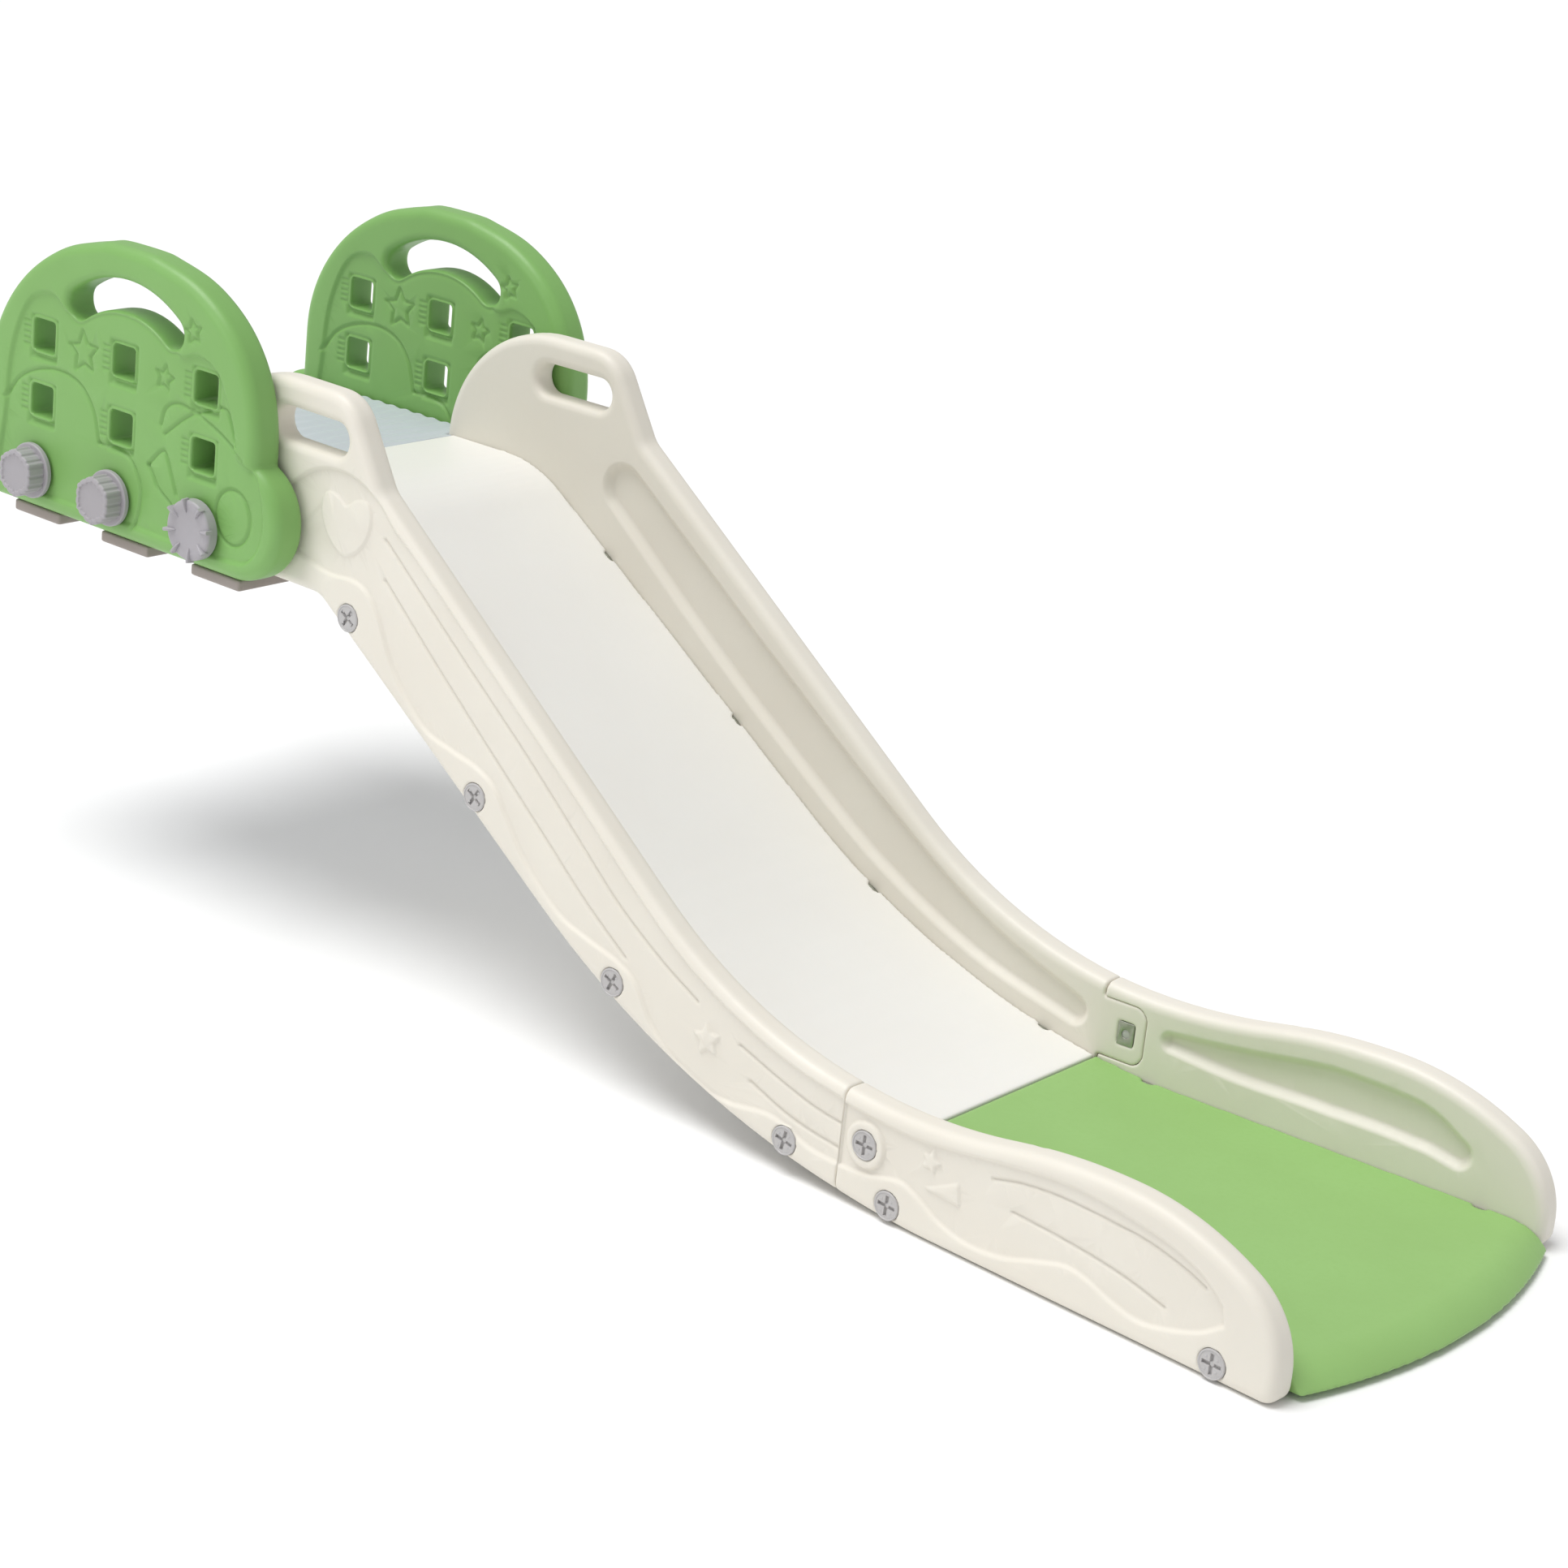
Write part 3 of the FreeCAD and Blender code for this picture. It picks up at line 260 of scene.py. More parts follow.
def lower_rail_outside(points, sizes):
    """Sunken field between the wave and the rim, with its lines, badges and joint boss."""
    heights = lined_field(points, between(LOWER_WAVE, LOWER_BORDER), LOWER_GROOVES, sizes)
    heights += plateau(points, star_outline(*LOWER_STAR), sizes.edge_width / 3, sizes.badge_height)
    sail = straight_through(SAIL, closed=True)
    heights += plateau(points, sail, sizes.edge_width / 2, sizes.badge_height)
    heights += plateau(points, round_outline(*JOINT_BOSS), sizes.edge_width / 2, sizes.field_depth)
    return heights


def upper_rail_inside(points, sizes):
    """One long trough between the board and the rim."""
    widths = np.array(UPPER_TROUGH_WIDTHS) * MM
    return channel(points, curve_through(UPPER_TROUGH), widths, sizes.trough_edge, sizes.trough_depth)


def lower_rail_inside(points, sizes):
    """One leaf-shaped trough above the run-out board."""
    widths = np.array(LOWER_TROUGH_WIDTHS) * MM
    return channel(points, curve_through(LOWER_TROUGH), widths, sizes.trough_edge, sizes.trough_depth)


PANEL_FIELD = [
    (-812, 402), (-808, 470), (-800, 540), (-776, 592), (-742, 606), (-712, 590), (-675, 604), (-632, 610),
    (-589, 604), (-548, 584), (-520, 590), (-490, 576), (-466, 530), (-462, 502), (-430, 486), (-418, 440),
    (-432, 404), (-470, 394), (-620, 394), (-760, 394),
]
PANEL_LINES = [
    [(-809, 484), (-790, 508), (-760, 523), (-725, 528), (-695, 520), (-674, 498), (-664, 467)],
    [(-664, 467), (-637, 468), (-613, 459), (-599, 436), (-600, 412), (-606, 392)],
    [(-573, 508), (-567, 526), (-551, 535), (-527, 532), (-488, 519), (-452, 499)],
    [(-567, 500), (-536, 524), (-508, 537), (-486, 545), (-474, 538), (-462, 512)],
    [(-589, 463), (-571, 481), (-563, 479), (-554, 460), (-546, 442)],
    [(-589, 463), (-580, 452), (-573, 442), (-553, 430)],
]
WINDOW_COLUMNS = (-754, -632, -510)
WINDOW_ROWS = (490, 558)

# A window's sunken surround and the ticks beside it, measured from the window's middle
SILL_CORNERS = ((-19, -25), (19, -25), (19, 19), (-19, 19))
TICK_COUNT = 5
TICK_TOP = 12
TICK_PITCH = 6
TICK_ENDS = (-30, -23)
TICK_WIDTH_SHARE = 0.8
TICK_DEPTH_SHARE = 0.7


def add_window(heights, points, x, z, sizes):
    """Sink one window's surround and its ticks into heights that are already there."""
    sill = straight_through([(x + right, z + up) for right, up in SILL_CORNERS], closed=True)
    heights += plateau(points, sill, sizes.sill_edge, -sizes.sill_depth)
    width = sizes.line_width * TICK_WIDTH_SHARE
    depth = sizes.line_depth * TICK_DEPTH_SHARE
    for tick in range(TICK_COUNT):
        level = z + TICK_TOP - TICK_PITCH * tick
        line = straight_through([(x + end, level) for end in TICK_ENDS])
        heights += bead(points, line, width, -depth)


def panel_relief(points, sizes):
    """Sunken field under the hand hole, with hills, ribbons, a leaf, an ellipse, stars and windows."""
    heights = lined_field(points, curve_through(PANEL_FIELD, closed=True), PANEL_LINES, sizes)
    outlines = [round_outline(*PANEL_ELLIPSE)]
    outlines += [star_outline(*star) for star in PANEL_STARS]
    for outline in outlines:
        heights += bead(points, outline, sizes.line_width, -sizes.line_depth)
    for x in WINDOW_COLUMNS:
        for z in WINDOW_ROWS:
            add_window(heights, points, x, z, sizes)
    return heights


# ------------------------------------------------------------------ meshes


# How squarely a surface must face outward before relief is pressed in, and over what range it fades in
FACING_START = 0.6
FACING_FADE = 0.35
SMOOTHING = 0.5
BEVEL_SEGMENTS = 2
BEVEL_ANGLE = math.radians(30)
CREASE_ANGLE = 40


def new_piece(name, mesh):
    """A new object in the scene with a mesh of its own."""
    mesh.name = name
    piece = bpy.data.objects.new(name, mesh)
    bpy.context.scene.collection.objects.link(piece)
    return piece


def welded(node):
    """A copy of a CAD node's surface with its seams welded, open for work."""
    shape = bmesh.new()
    shape.from_mesh(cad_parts[node].data)
    bmesh.ops.remove_doubles(shape, verts=shape.verts, dist=WELD)
    return shape


def piece_from(shape, name):
    """A new piece from a surface that is open for work, which is closed."""
    mesh = bpy.data.meshes.new(name)
    shape.to_mesh(mesh)
    shape.free()
    return new_piece(name, mesh)


def cad_copy(node, name):
    """A piece that starts from a copy of a CAD node's surface."""
    return piece_from(welded(node), name)


def read_places(mesh):
    """The places of a mesh's corners, as rows of x, y and z."""
    places = np.empty(len(mesh.vertices) * 3)
    mesh.vertices.foreach_get("co", places)
    return places.reshape(-1, 3)


def write_places(mesh, places):
    """Move a mesh's corners to new places."""
    mesh.vertices.foreach_set("co", places.ravel())
    mesh.update()


def modified(piece, kind, **settings):
    """Give a piece one modifier and make its result the piece's own mesh."""
    modifier = piece.modifiers.new(kind.title(), kind)
    for setting, value in settings.items():
        setattr(modifier, setting, value)
    solved = bpy.data.meshes.new_from_object(piece.evaluated_get(bpy.context.evaluated_depsgraph_get()))
    piece.modifiers.clear()
    old = piece.data
    piece.data = solved
    solved.name = piece.name
    bpy.data.meshes.remove(old)
    return piece


def shade(piece, angle=180.0):
    """Smooth shading, broken where faces meet at more than an angle in degrees."""
    piece.data.shade_smooth()
    if angle < 180:
        piece.data.set_sharp_from_angle(angle=math.radians(angle))
    return piece


def remoulded(piece, sizes, coarseness=1.0, passes=7):
    """Rebuild a piece's surface in fine even squares and soften its edges, as moulding does."""
    grid = coarseness * sizes.fine_grid
    modified(piece, "REMESH", mode="VOXEL", voxel_size=grid)
    return modified(piece, "SMOOTH", factor=SMOOTHING, iterations=passes)


def emboss(piece, relief, facing, sizes, shift=0.0):
    """Raise and sink one of a piece's two broad faces by a relief of x and z."""
    mesh = piece.data
    places = read_places(mesh)
    normals = np.empty(len(places) * 3)
    mesh.vertex_normals.foreach_get("vector", normals)
    weight = eased((normals.reshape(-1, 3)[:, 1] * facing - FACING_START) / FACING_FADE)
    on_face = weight > 0
    points = places[on_face][:, (0, 2)] + (shift, 0)
    places[on_face, 1] += facing * weight[on_face] * relief(points, sizes)
    write_places(mesh, places)


def thinned(piece, sizes):
    """Fewer faces where the surface is plain."""
    return modified(piece, "DECIMATE", ratio=sizes.kept_share)


def softened(node, name, width):
    """A CAD node's shape with its sharp edges rounded over."""
    piece = cad_copy(node, name)
    modified(
        piece, "BEVEL", width=width, segments=BEVEL_SEGMENTS, limit_method="ANGLE",
        angle_limit=BEVEL_ANGLE, use_clamp_overlap=True, harden_normals=False,
    )
    return shade(piece, CREASE_ANGLE)


def ringed(name, rings, closed=True):
    """A piece from rings of points of equal count, closed by a face at each end."""
    count = len(rings[0])
    vertices = [tuple(point) for ring in rings for point in ring]
    faces = []
    for row in range(len(rings) - 1):
        for index in range(count):
            after = (index + 1) % count
            low, high = row * count, (row + 1) * count
            faces.append((low + index, low + after, high + after, high + index))
    if closed:
        faces.append(tuple(range(count))[::-1])
        faces.append(tuple(range((len(rings) - 1) * count, len(rings) * count)))
    mesh = bpy.data.meshes.new(name)
    mesh.from_pydata(vertices, [], faces)
    mesh.validate()
    return new_piece(name, mesh)


def joined(name, pieces):
    """Several pieces made into one, without merging their surfaces."""
    shape = bmesh.new()
    for piece in pieces:
        piece.data.transform(piece.matrix_basis)
        shape.from_mesh(piece.data)
        old = piece.data
        bpy.data.objects.remove(piece)
        bpy.data.meshes.remove(old)
    return piece_from(shape, name)


def dressed(piece, body, slot, paint, *nodes):
    """Finish a piece: its material, the body that it rides on and the CAD nodes that it stands for."""
    piece.data.materials.clear()
    piece.data.materials.append(paint)
    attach(piece, body)
    if nodes:
        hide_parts(*nodes)
    return piece


def rail_matrix(part, side):
    """Where a side rail's own frame stands: at the seam, turned by its flare."""
    turn = Matrix.Rotation(side * RAIL_FLARE[part], 4, "Z")
    return Matrix.Translation((SEAM_X, side * RAIL_SPREAD, 0)) @ turn


# ------------------------------------------------------------------ shader writing


class Socket:
    """A shader socket that ordinary arithmetic can be written with."""

    def __init__(self, paint, output):
        self.paint = paint
        self.output = output

    def maths(self, operation, first, second):
        """A new maths node on two values or sockets."""
        return self.paint.node("ShaderNodeMath", {"operation": operation}, {0: first, 1: second})

    def __add__(self, other):
        return self.maths("ADD", self, other)

    __radd__ = __add__

    def __sub__(self, other):
        return self.maths("SUBTRACT", self, other)

    def __rsub__(self, other):
        return self.maths("SUBTRACT", other, self)

    def __mul__(self, other):
        return self.maths("MULTIPLY", self, other)

    __rmul__ = __mul__


class Paint:
    """A material written node by node, with the shader that ends it."""

    def __init__(self, name):
        self.material = bpy.data.materials.new(name)
        self.material.use_nodes = True
        self.tree = self.material.node_tree
        self.tree.nodes.clear()

    def node(self, kind, settings=None, sockets=None, output=0):
        """Any node: its settings first, then the values or links of its sockets."""
        made = self.tree.nodes.new(kind)
        for setting, value in (settings or {}).items():
            setattr(made, setting, value)
        for socket, value in (sockets or {}).items():
            if isinstance(value, Socket):
                self.tree.links.new(value.output, made.inputs[socket])
            else:
                made.inputs[socket].default_value = value
        return Socket(self, made.outputs[output]) if made.outputs else None

    def noise(self, scale, detail, roughness=0.5):
        """Noise that is fixed to the piece."""
        place = self.node("ShaderNodeTexCoord", output="Object")
        sockets = {"Vector": place, "Scale": scale, "Detail": detail, "Roughness": roughness}
        return self.node("ShaderNodeTexNoise", {}, sockets, output="Fac")

    def ramp(self, value, low, high):
        """A value stretched so that low becomes 0 and high becomes 1."""
        return self.node(
            "ShaderNodeMapRange", {"clamp": True},
            {"Value": value, "From Min": low, "From Max": high, "To Min": 0.0, "To Max": 1.0},
        )

    def blend(self, share, first, second):
        """One colour fading into another."""
        return self.node(
            "ShaderNodeMix", {"data_type": "RGBA"}, {0: share, 6: first, 7: second}, output=2,
        )

    def bump(self, height, distance, strength, normal=None):
        """A normal tilted by a height, on top of another normal where one is given."""
        sockets = {"Height": height, "Distance": distance, "Strength": strength}
        if normal is not None:
            sockets["Normal"] = normal
        return self.node("ShaderNodeBump", {}, sockets)

    def finish(self, **sockets):
        """End in a Principled shader with these sockets, and hand over the material."""
        spaced = {name.replace("_", " "): value for name, value in sockets.items()}
        shader = self.node("ShaderNodeBsdfPrincipled", {}, spaced)
        self.node("ShaderNodeOutputMaterial", {}, {"Surface": shader})
        return self.material


def shifted(colour, gain, warm=0.0):
    """A colour made lighter or darker, and warmer by a small share."""
    red, green, blue = colour[:3]
    changed = (red * gain * (1 + warm), green * gain, blue * gain * (1 - warm))
    return (*(min(1.0, channel_value) for channel_value in changed), 1.0)


# Noise scales, from broad to fine
FLOOR_SCALE = 1.5
CLOUD_SCALE = 7.0
RIPPLE_SCALE = 28.0
SPOT_SCALE = 60.0
SPECK_SCALE = 160.0
DRIFT_SCALE = 220.0
BRUSH_SCALE = 700.0
PEBBLE_SCALE = 900.0
BRUSH_DEPTH = 0.08 * MM
RIPPLE_TO_GRAIN = 6
SPECK_SHARE = 0.5
# Painted shade: how strongly hollows and creases are darkened and greyed
HOLLOW_SHADE_SHARE = 0.35
# Painted highlight: how strongly convex edges are lightened
EDGE_HIGHLIGHT_SHARE = 0.25
SUBSURFACE_RADII = (0.004, 0.003, 0.002)

# Each plastic finish: its roughness, its share of the skin's grain and its mottling
PLASTICS = {
    "ivory": (0.42, 1.0, 0.5),
    "white_board": (0.4, 0.6, 0.3),
    "leaf_green": (0.4, 1.0, 0.8),
    # Leaf green darkened as painted shade for the guard panels
    "panel_green": (0.38, 1.2, 0.8),
    "pale_grey": (0.42, 1.0, 0.6),
    "light_grey": (0.45, 0.8, 0.7),
    "warm_grey": (0.5, 1.0, 0.8),
    "screw_grey": (0.42, 0.8, 0.9),
}


def moulded(name, colour, gloss, grain, mottle):
    """Blow-moulded plastic: soft mottling, paler edges painted as a highlight, greyer hollows painted as
    shade, and a fine pebbled skin.
    """
    paint = Paint(name)
    base = shifted(colour, 1.0)
    clouds = paint.ramp(paint.noise(CLOUD_SCALE, detail=3.0), low=0.35, high=0.65)
    specks = paint.ramp(paint.noise(SPECK_SCALE, detail=2.0), low=0.45, high=0.75)
    edges = paint.node("ShaderNodeNewGeometry", output="Pointiness")
    # Painted highlight: a mask of the convex edges, which are lightened below and also made a little
    # smoother
    edge_highlight = paint.ramp(edges, low=0.505, high=0.56)
    # Painted shade: a mask of the hollows and creases, read from the surface's pointiness
    hollow_shade = 1.0 - paint.ramp(edges, low=0.44, high=0.495)
    tone = paint.blend(clouds * mottle, base, shifted(colour, gain=0.93, warm=0.015))
    tone = paint.blend(specks * (SPECK_SHARE * mottle), tone, shifted(colour, gain=0.96))
    # Painted shade: the hollows darkened and greyed
    tone = paint.blend(hollow_shade * HOLLOW_SHADE_SHARE, tone, shifted(colour, gain=0.8, warm=0.03))
    # Painted highlight: the edges lightened
    tone = paint.blend(edge_highlight * EDGE_HIGHLIGHT_SHARE, tone, shifted(colour, gain=1.08))
    pebbles = paint.noise(PEBBLE_SCALE, detail=2.0, roughness=0.6)
    ripple = paint.noise(RIPPLE_SCALE, detail=2.0)
    skin = paint.bump(pebbles, grain, strength=0.35)
    skin = paint.bump(ripple, grain * RIPPLE_TO_GRAIN, strength=0.25, normal=skin)
    rough = gloss + clouds * 0.06 + specks * 0.05 - edge_highlight * 0.08
    return paint.finish(
        Base_Color=tone, Roughness=rough, Normal=skin, IOR=1.5, Specular_IOR_Level=0.45,
        Subsurface_Weight=0.04, Subsurface_Radius=SUBSURFACE_RADII, Subsurface_Scale=1.0,
    )


def plated(name, colour):
    """Dull zinc-plated steel with a brushed drift and darker spots."""
    paint = Paint(name)
    drift = paint.ramp(paint.noise(DRIFT_SCALE, detail=4.0), low=0.3, high=0.7)
    spots = paint.ramp(paint.noise(SPOT_SCALE, detail=2.0), low=0.55, high=0.7)
    darker = shifted(colour, gain=0.75, warm=0.02)
    tone = paint.blend(drift * 0.4, shifted(colour, gain=1.0), darker)
    tone = paint.blend(spots * 0.3, tone, shifted(colour, gain=0.55, warm=0.04))
    skin = paint.bump(paint.noise(BRUSH_SCALE, detail=2.0), BRUSH_DEPTH, strength=0.3)
    return paint.finish(Base_Color=tone, Metallic=0.85, Roughness=0.38 + drift * 0.15, Normal=skin)


def floor_paint(name, colour):
    """A plain pale studio floor, very slightly uneven."""
    paint = Paint(name)
    clouds = paint.ramp(paint.noise(FLOOR_SCALE, detail=2.0), low=0.3, high=0.7)
    tone = paint.blend(clouds * 0.3, shifted(colour, gain=1.0), shifted(colour, gain=0.985))
    return paint.finish(Base_Color=tone, Roughness=0.75 + clouds * 0.05, Specular_IOR_Level=0.2)


def paint_for(context, finish):
    """One finish's material, made once from the scene's colours."""
    name = f"{finish}_finish"
    if name in bpy.data.materials:
        return bpy.data.materials[name]
    colours = context.scene.wave_slide_colours
    sizes = context.scene.wave_slide_sizes
    if finish == "nut_steel":
        return plated(name, colours.nut_steel)
    gloss, grain, mottle = PLASTICS[finish]
    return moulded(name, getattr(colours, finish), gloss, sizes.skin_grain * grain, mottle)


# ------------------------------------------------------------------ sizes and colours


def length(name, description, default):
    """A size that a user can change, in metres."""
    return bpy.props.FloatProperty(
        name=name, description=description, default=default, min=0.0, unit="LENGTH", precision=4,
    )


def colour(name, description, default):
    """A colour that a user can change."""
    return bpy.props.FloatVectorProperty(
        name=name, description=description, default=default, size=3, min=0.0, max=1.0, subtype="COLOR",
    )


class WaveSlideSizes(bpy.types.PropertyGroup):
    fine_grid: length("Fine grid", "Spacing of the moulded pieces' surface squares", 1.6 * MM)
    draft_grid: length("Draft grid", "The same spacing while trying things out", 4.0 * MM)
    field_depth: length("Field depth", "How far the fields are sunk below their rims", 3.4 * MM)
    edge_width: length("Edge width", "Width of the soft step round a field or badge", 4.6 * MM)
    line_width: length("Line half width", "Half the width of the moulded lines", 3.0 * MM)
    line_depth: length("Line depth", "Depth of the moulded lines", 2.4 * MM)
    sill_edge: length("Sill edge", "Width of the slope round each window", 8.0 * MM)
    sill_depth: length("Sill depth", "How far each window's surround is sunk", 4.0 * MM)
    badge_height: length("Badge height", "Height of the heart, star and sail", 2.0 * MM)
    trough_depth: length("Trough depth", "Depth of the rails' inner troughs", 9.0 * MM)
    trough_edge: length("Trough edge", "Width of the troughs' soft walls", 11.0 * MM)
    skin_grain: length("Skin grain", "Height of the plastic's pebbled skin", 0.06 * MM)
    deck_ripple: length("Deck ripple", "Height of the deck's anti-slip waves", 1.6 * MM)
    deck_pitch: length("Deck pitch", "Spacing of the deck's anti-slip waves", 21.0 * MM)
    kept_share: bpy.props.FloatProperty(
        name="Kept share", description="Share of the moulded pieces' faces that is kept",
        default=0.45, min=0.05, max=1.0, subtype="FACTOR",
    )


class WaveSlideColours(bpy.types.PropertyGroup):
    ivory: colour("Ivory", "Side rails", (0.79, 0.755, 0.675))
    white_board: colour("White board", "Upper slide board", (0.835, 0.825, 0.79))
    leaf_green: colour("Leaf green", "Lower board", (0.29, 0.51, 0.165))
    # The guard panels' leaf green, darkened as painted shade
    panel_green: colour("Panel green", "Guard panels", (0.215, 0.44, 0.125))
    pale_grey: colour("Pale grey", "Deck", (0.56, 0.6, 0.65))
    light_grey: colour("Light grey", "Knobs and dials", (0.385, 0.37, 0.395))
    warm_grey: colour("Warm grey", "Brackets", (0.33, 0.29, 0.265))
    screw_grey: colour("Screw grey", "Screws", (0.5, 0.49, 0.49))
    nut_steel: colour("Nut steel", "Square nuts", (0.42, 0.44, 0.38))
    floor: colour("Floor", "Studio floor", (0.94, 0.94, 0.94))


# ------------------------------------------------------------------ operators


class WAVESLIDE_OT_side_rails(bpy.types.Operator):
    """Mould the four side rails with their waves, lines, badges and troughs"""

    bl_idname = "wave_slide.side_rails"
    bl_label = "Side rails"

    def execute(self, context):
        sizes = context.scene.wave_slide_sizes
        reliefs = {
            "upper": (upper_rail_outside, upper_rail_inside),
            "lower": (lower_rail_outside, lower_rail_inside),
        }
        for side_name, side in SIDES.items():
            for part, (outside, within) in reliefs.items():
                node = f"{side_name}_{part}_rail"
                matrix = rail_matrix(part, side)
                piece = cad_copy(node, node + "_shell")
                piece.data.transform(matrix.inverted())
                remoulded(piece, sizes)
                emboss(piece, outside, side, sizes, SEAM_X)
                emboss(piece, within, -side, sizes, SEAM_X)
                thinned(piece, sizes)
                piece.data.transform(matrix)
                shade(piece)
                dressed(piece, "slide", "ivory", paint_for(context, "ivory"), node)
        return {"FINISHED"}


class WAVESLIDE_OT_guard_panels(bpy.types.Operator):
    """Mould the two domed guard panels with their relief on both faces"""

    bl_idname = "wave_slide.guard_panels"
    bl_label = "Guard panels"

    def execute(self, context):
        sizes = context.scene.wave_slide_sizes
        for side_name in SIDES:
            node = f"{side_name}_guard_panel"
            piece = remoulded(cad_copy(node, node + "_shell"), sizes)
            for facing in (-1, 1):
                emboss(piece, panel_relief, facing, sizes)
            shade(thinned(piece, sizes))
            # The panels are leaf green plastic, painted in a darker copy of it as painted shade
            dressed(piece, "slide", "leaf_green", paint_for(context, "panel_green"), node)
        return {"FINISHED"}


class WAVESLIDE_OT_boards(bpy.types.Operator):
    """Make the white upper board and the green lower board with softened edges"""

    bl_idname = "wave_slide.boards"
    bl_label = "Slide boards"

    def execute(self, context):
        sizes = context.scene.wave_slide_sizes
        for part, slot, finish in (("upper", "ivory", "white_board"), ("lower", "leaf_green", "leaf_green")):
            node = f"{part}_slide_board"
            piece = remoulded(cad_copy(node, node + "_skin"), sizes, coarseness=1.4, passes=3)
            shade(thinned(piece, sizes))
            dressed(piece, "slide", slot, paint_for(context, finish), node)
        return {"FINISHED"}


# The deck's anti-slip waves lie in the top of the deck and bow from side to side
DECK_TOP_BAND = 2 * MM
DECK_TOP_FADE = 1 * MM
DECK_BOW = 6 * MM
DECK_BOW_SPAN = 38 * MM


class WAVESLIDE_OT_deck(bpy.types.Operator):
    """Mould the deck with its anti-slip waves"""

    bl_idname = "wave_slide.deck"
    bl_label = "Deck"

    def execute(self, context):
        sizes = context.scene.wave_slide_sizes
        piece = remoulded(cad_copy("deck", "deck_shell"), sizes)
        places = read_places(piece.data)
        top = eased((places[:, 2] - (places[:, 2].max() - DECK_TOP_BAND)) / DECK_TOP_FADE)
        bow = DECK_BOW * np.sin(places[:, 1] / DECK_BOW_SPAN)
        phase = 2 * math.pi * (places[:, 0] + bow) / sizes.deck_pitch
        places[:, 2] += top * sizes.deck_ripple * (np.cos(phase) - 1) / 2
        write_places(piece.data, places)
        shade(thinned(piece, sizes))
        dressed(piece, "slide", "pale_grey", paint_for(context, "pale_grey"), "deck")
        return {"FINISHED"}


# Knobs and dials, measured outward from their guard panel's outer face
SHANK_RADIUS = 7 * MM
FOOT_HEIGHT = 0.3 * MM
COLLAR_RADIUS = 29 * MM
COLLAR_TOP = 5.3 * MM
COLLAR_ROUNDING = 1.8 * MM
COLLAR_TOP_WIDTH = 12 * MM
GRASP_HALF_WIDTH = 24 * MM
GRASP_FOOT = 4.8 * MM
GRASP_TOP = 25.3 * MM
GRASP_ROUNDING = 2.4 * MM
GRASP_FLUTE = 1.0 * MM
DIAL_RADIUS = 31 * MM
DIAL_TOP = 12.3 * MM
DIAL_ROUNDING = 3.2 * MM
DIAL_FINS = 8
DIAL_FIN_TILT = 10
KNOB_CREASE_ANGLE = 50

# Profiles, each step a height and how far it stands in, in millimetres
SHANK_PROFILE = [(-91.7, 0.6), (-91, 0), (0.5, 0)]
GRASP_DISH = [(25.3, 4.6), (24.0, 5.6), (23.8, 6.4), (23.9, 20)]
DIAL_DISH = [(12.3, 8), (11.6, 9.5), (11.5, 27)]
RIM_PROFILE = [(-0.2, 0.0), (0.5, 0.3), (0.5, 1.1), (-0.2, 1.6)]
CONE_PROFILE = [(-3.2, 0.0), (-1.4, 1.2)]
DOT_PROFILE = [(-0.2, 0.0), (0.2, 0.1), (0.5, 0.5)]

# A dial's fin from the inside out: its reach, half thickness and top, in millimetres
FIN_SECTIONS = [(18, 0.7, 12.2), (22, 1.3, 14.6), (27, 1.7, 16.0), (32, 1.9, 16.2), (32.6, 1.7, 9.5)]
FIN_FOOT = 8
FIN_SHOULDER_DROP = 0.9
FIN_CREST_SHARE = 0.5

# A grasp's hexagon: how far its corners reach, how sharply they blend and how its flutes run
HEX_CORNER_SHARE = 1.075
HEX_BLEND = 900
FLUTE_WAVES = 16
FLUTE_LIMIT = math.radians(26)

# How many sides each round shape has
SHANK_SIDES = 48
COLLAR_SIDES = 96
GRASP_SIDES = 264
DIAL_SIDES = 128


def in_metres(profile):
    """A profile given in millimetres, in metres."""
    return [(height * MM, inset * MM) for height, inset in profile]


def knob_rings(profile, radius_at, count):
    """Rings of a turned shape from a profile, whose steps are a height and how far it stands in."""
    turns = np.linspace(0, 2 * math.pi, count, endpoint=False)
    rings = []
    for height, inset in profile:
        reach = radius_at(turns) - inset
        ring = np.column_stack((reach * np.cos(turns), reach * np.sin(turns), np.full(count, height)))
        rings.append(ring)
    return rings


def round_radius(radius):
    """The same radius all round."""
    return lambda turns: np.full(len(turns), radius)


def hexagon_radius(half_width, flute):
    """Radius of a soft-cornered hexagon whose flat sides carry three shallow flutes."""
    def radius_at(turns):
        fold = (turns + math.pi / 6) % (math.pi / 3) - math.pi / 6
        flat = half_width / np.cos(fold)
        corner = half_width * HEX_CORNER_SHARE
        reach = -np.log(np.exp(-flat * HEX_BLEND) + np.exp(-corner * HEX_BLEND)) / HEX_BLEND
        ripple = np.clip(np.cos(fold * FLUTE_WAVES), 0, 1) * (np.abs(fold) < FLUTE_LIMIT)
        return reach - flute * ripple
    return radius_at


def rounded_profile(low, high, rounding, steps=4):
    """Profile of a straight wall whose upper edge is rounded over."""
    profile = [(low, 0.0)]
    for step in range(steps + 1):
        angle = math.pi / 2 * step / steps
        height = high - rounding + rounding * math.sin(angle)
        profile.append((height, rounding * (1 - math.cos(angle))))
    return profile


def knob_matrix(node, side):
    """Where a knob's own frame stands: on its guard panel's outer face, with Z outward."""
    low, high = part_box(node)
    centre = (low + high) / 2
    face = side * (PANEL_SPREAD + PANEL_HALF_THICKNESS)
    turn = Matrix.Rotation(math.pi if side > 0 else 0.0, 4, "Z") @ Matrix.Rotation(math.pi / 2, 4, "X")
    return Matrix.Translation((centre.x, face, centre.z)) @ turn


